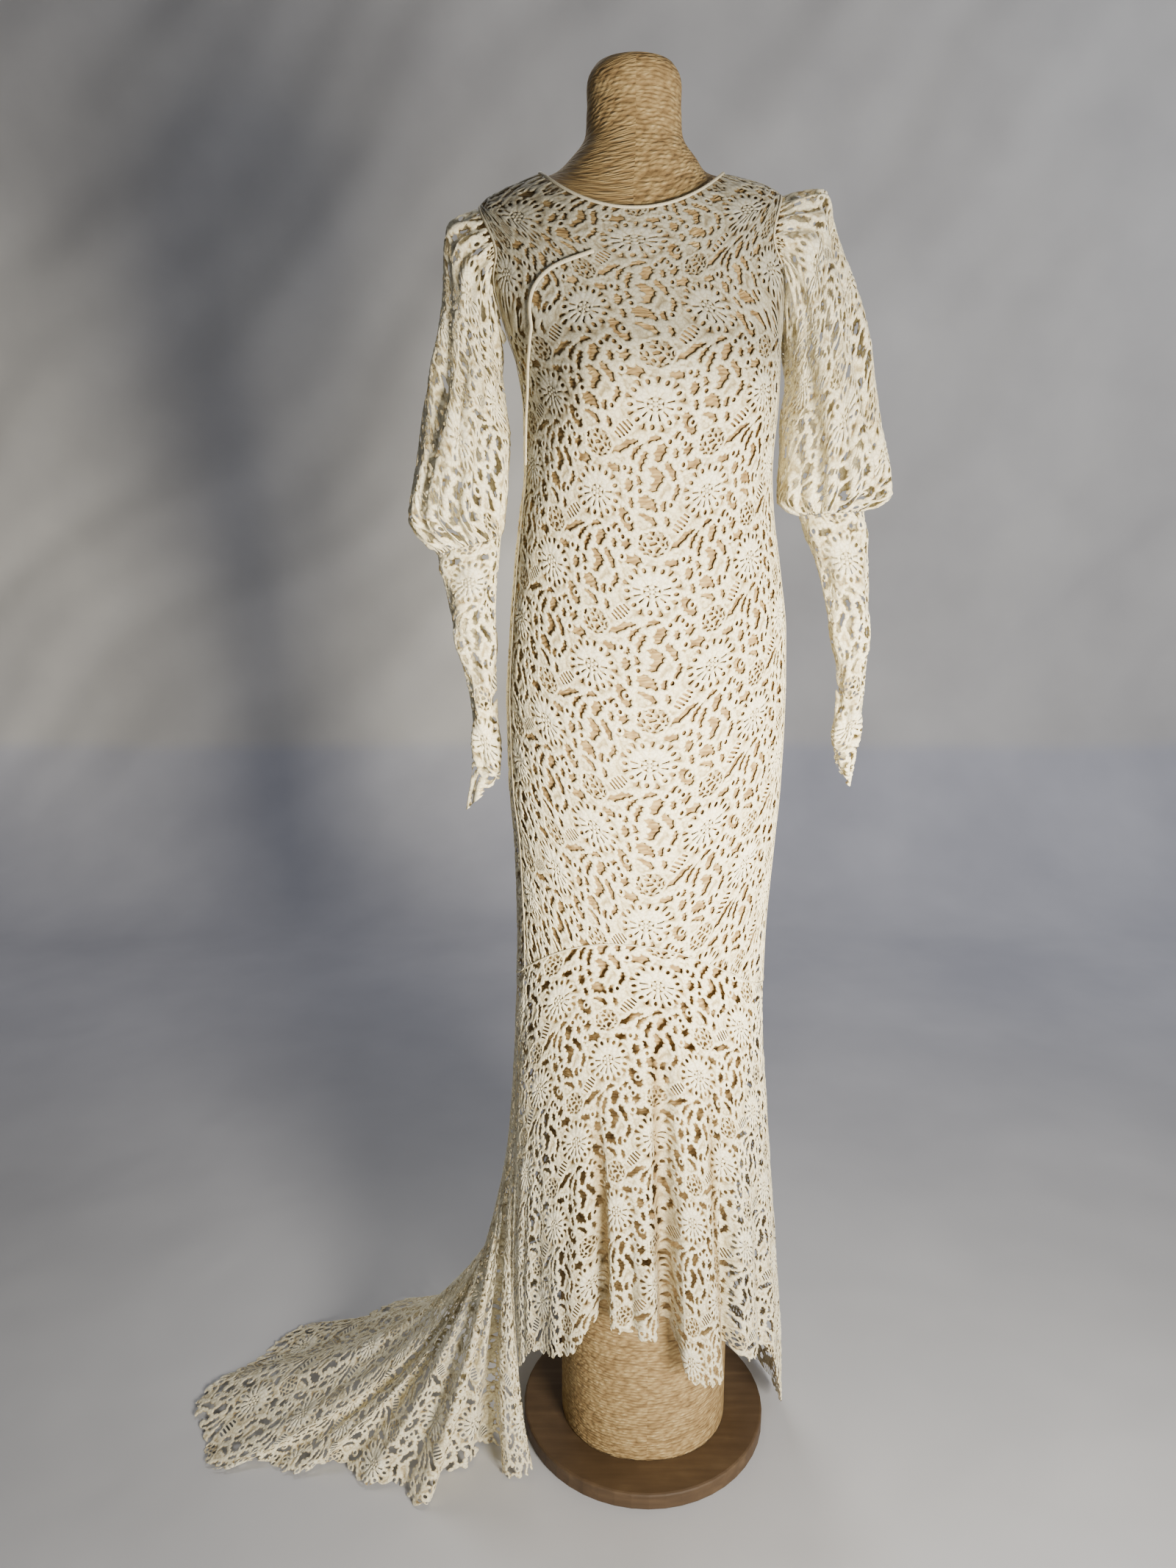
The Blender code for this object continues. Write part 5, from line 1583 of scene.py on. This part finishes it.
def seams(finish):
    """The raised seams: down each side from the shoulder, and round the knee."""
    total = float(knee_depth(90.0))
    down = np.linspace(SHOULDER_DEPTH / total, 0.998, SIDE_SEAM_POINTS)
    knee = np.linspace(0.004, 0.996, KNEE_SEAM_POINTS), np.full(KNEE_SEAM_POINTS, 0.9985)
    front = [seam_tape("front_knee_seam", front_panel, knee, KNEE_SEAM_WIDE, finish, 0.0)]
    for name, edge in (("left_side_seam", 0.002), ("right_side_seam", 0.998)):
        run = np.full(SIDE_SEAM_POINTS, edge), down
        front.append(seam_tape(name, front_panel, run, SIDE_SEAM_WIDE, finish, SIDE_SEAM_LIFT))
    back = [seam_tape("back_knee_seam", back_panel, knee, KNEE_SEAM_WIDE, finish, 0.0)]
    return front, back


def panels(thread, binding, near_repeat, far_repeat):
    """The front and the back with their seams, and the flounce."""
    front_seams, back_seams = seams(binding)
    # The front's lace carries the painted shadow above the bust
    lace_piece("front_lace", front_panel, 1, near_repeat, thread, "front_panel",
               marks={"yoke": painted_yoke_shadow})
    lace_piece("back_lace", back_panel, 1, far_repeat, thread, "back_panel")
    # The flounce's lace carries painted shade in the bottoms of its folds
    lace_piece("front_flounce_lace", front_flounce, 1, near_repeat, thread,
               "front_flounce", flounce_ripple, SCALLOP, marks={"fold": painted_crease_shade})


def train_pieces(thread, near_repeat, far_repeat):
    """The train's gores, with coarser lace where they lie behind."""
    train_u = np.linspace(0, 1, TRAIN_ACROSS + 1)
    for name, first, last in TRAIN_GORES:
        repeat = near_repeat if first < TRAIN_FAR else far_repeat
        start, end = train_u[first], train_u[last]
        lace_piece(name + "_lace", gore(start, end), -1, repeat, thread,
                   name, train_ripple(start, end), SCALLOP)


def sleeves(thread, near_repeat, far_repeat):
    """Each sleeve's puff and cuff, in a front half and a back half."""
    both = (("right", 1, PUFF_RIGHT, CUFF_RIGHT), ("left", -1, PUFF_LEFT, CUFF_LEFT))
    for word, side, puffs, cuffs in both:
        for face, half in ((1, "front"), (-1, "back")):
            repeat = near_repeat if face > 0 else far_repeat
            facing = -side * face
            upper, lower = f"{word}_puff_{half}", f"{word}_cuff_{half}"
            lace_piece(upper + "_lace", puff(puffs, side, face), facing, repeat,
                       thread, upper, puff_gathers)
            lace_piece(lower + "_lace", cuff(cuffs, face), facing, repeat,
                       thread, lower, cuff_twist)


def trims_on(binding):
    """The neck's binding and the cord over the bust."""
    angle = np.arange(NECK_EDGE_POINTS) * 360 / NECK_EDGE_POINTS
    edge, below = torso(angle, 0.0), torso(angle, 0.004)
    up = (edge - below) / np.linalg.norm(edge - below, axis=-1)[:, None]
    normal = outward(torso, angle, 0.003, 0.5, 0.0015)
    path = edge + up * NECK_EDGE_RISE
    neck = tube("neck_edge", path, normal, NECK_EDGE_RADIUS, binding, closed=True, flat=0.8)
    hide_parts("neck_binding")
    v = np.linspace(0.002, 0.998, BUST_CORD_POINTS)
    middle = bust_seam(0.5, v)
    side = bust_seam(0.0, v) - bust_seam(1.0, v)
    out = np.cross(side, np.gradient(middle, axis=0)) * -1
    bust = tube("bust_seam_cord", middle, out, BUST_CORD_RADIUS, binding, flat=0.6)
    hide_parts("bust_seam")


def dress():
    """Every piece of the dress, over the form."""
    thread = lace_finish("ivory_lace")
    binding = binding_finish()
    near_repeat = tile(*NEAR_DETAIL)
    far_repeat = tile(*FAR_DETAIL)
    panels(thread, binding, near_repeat, far_repeat)
    train_pieces(thread, near_repeat, far_repeat)
    sleeves(thread, near_repeat, far_repeat)
    trims_on(binding)


def twine_end(finish):
    """The twine's tucked end, standing out of the neck's top."""
    path = np.array(TWINE_END)
    across = np.tile([0.0, -1.0, 0.0], (len(path), 1))
    tube("twine_end", path, across, TWINE_END_RADIUS, finish, sides=7)


def main():
    """The stage, the form and the dress."""
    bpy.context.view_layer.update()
    camera()
    world()
    stage_cloth("backdrop_cloth", backdrop, *BACK_NET, backdrop_finish())
    for lamp in LIGHTS:
        light(*lamp)
    jute = jute_finish()
    wound_form(jute)
    twine_end(jute)
    frame["nodes"]["form_base"].material_slots[0].material = wood_finish()
    dress()


main()
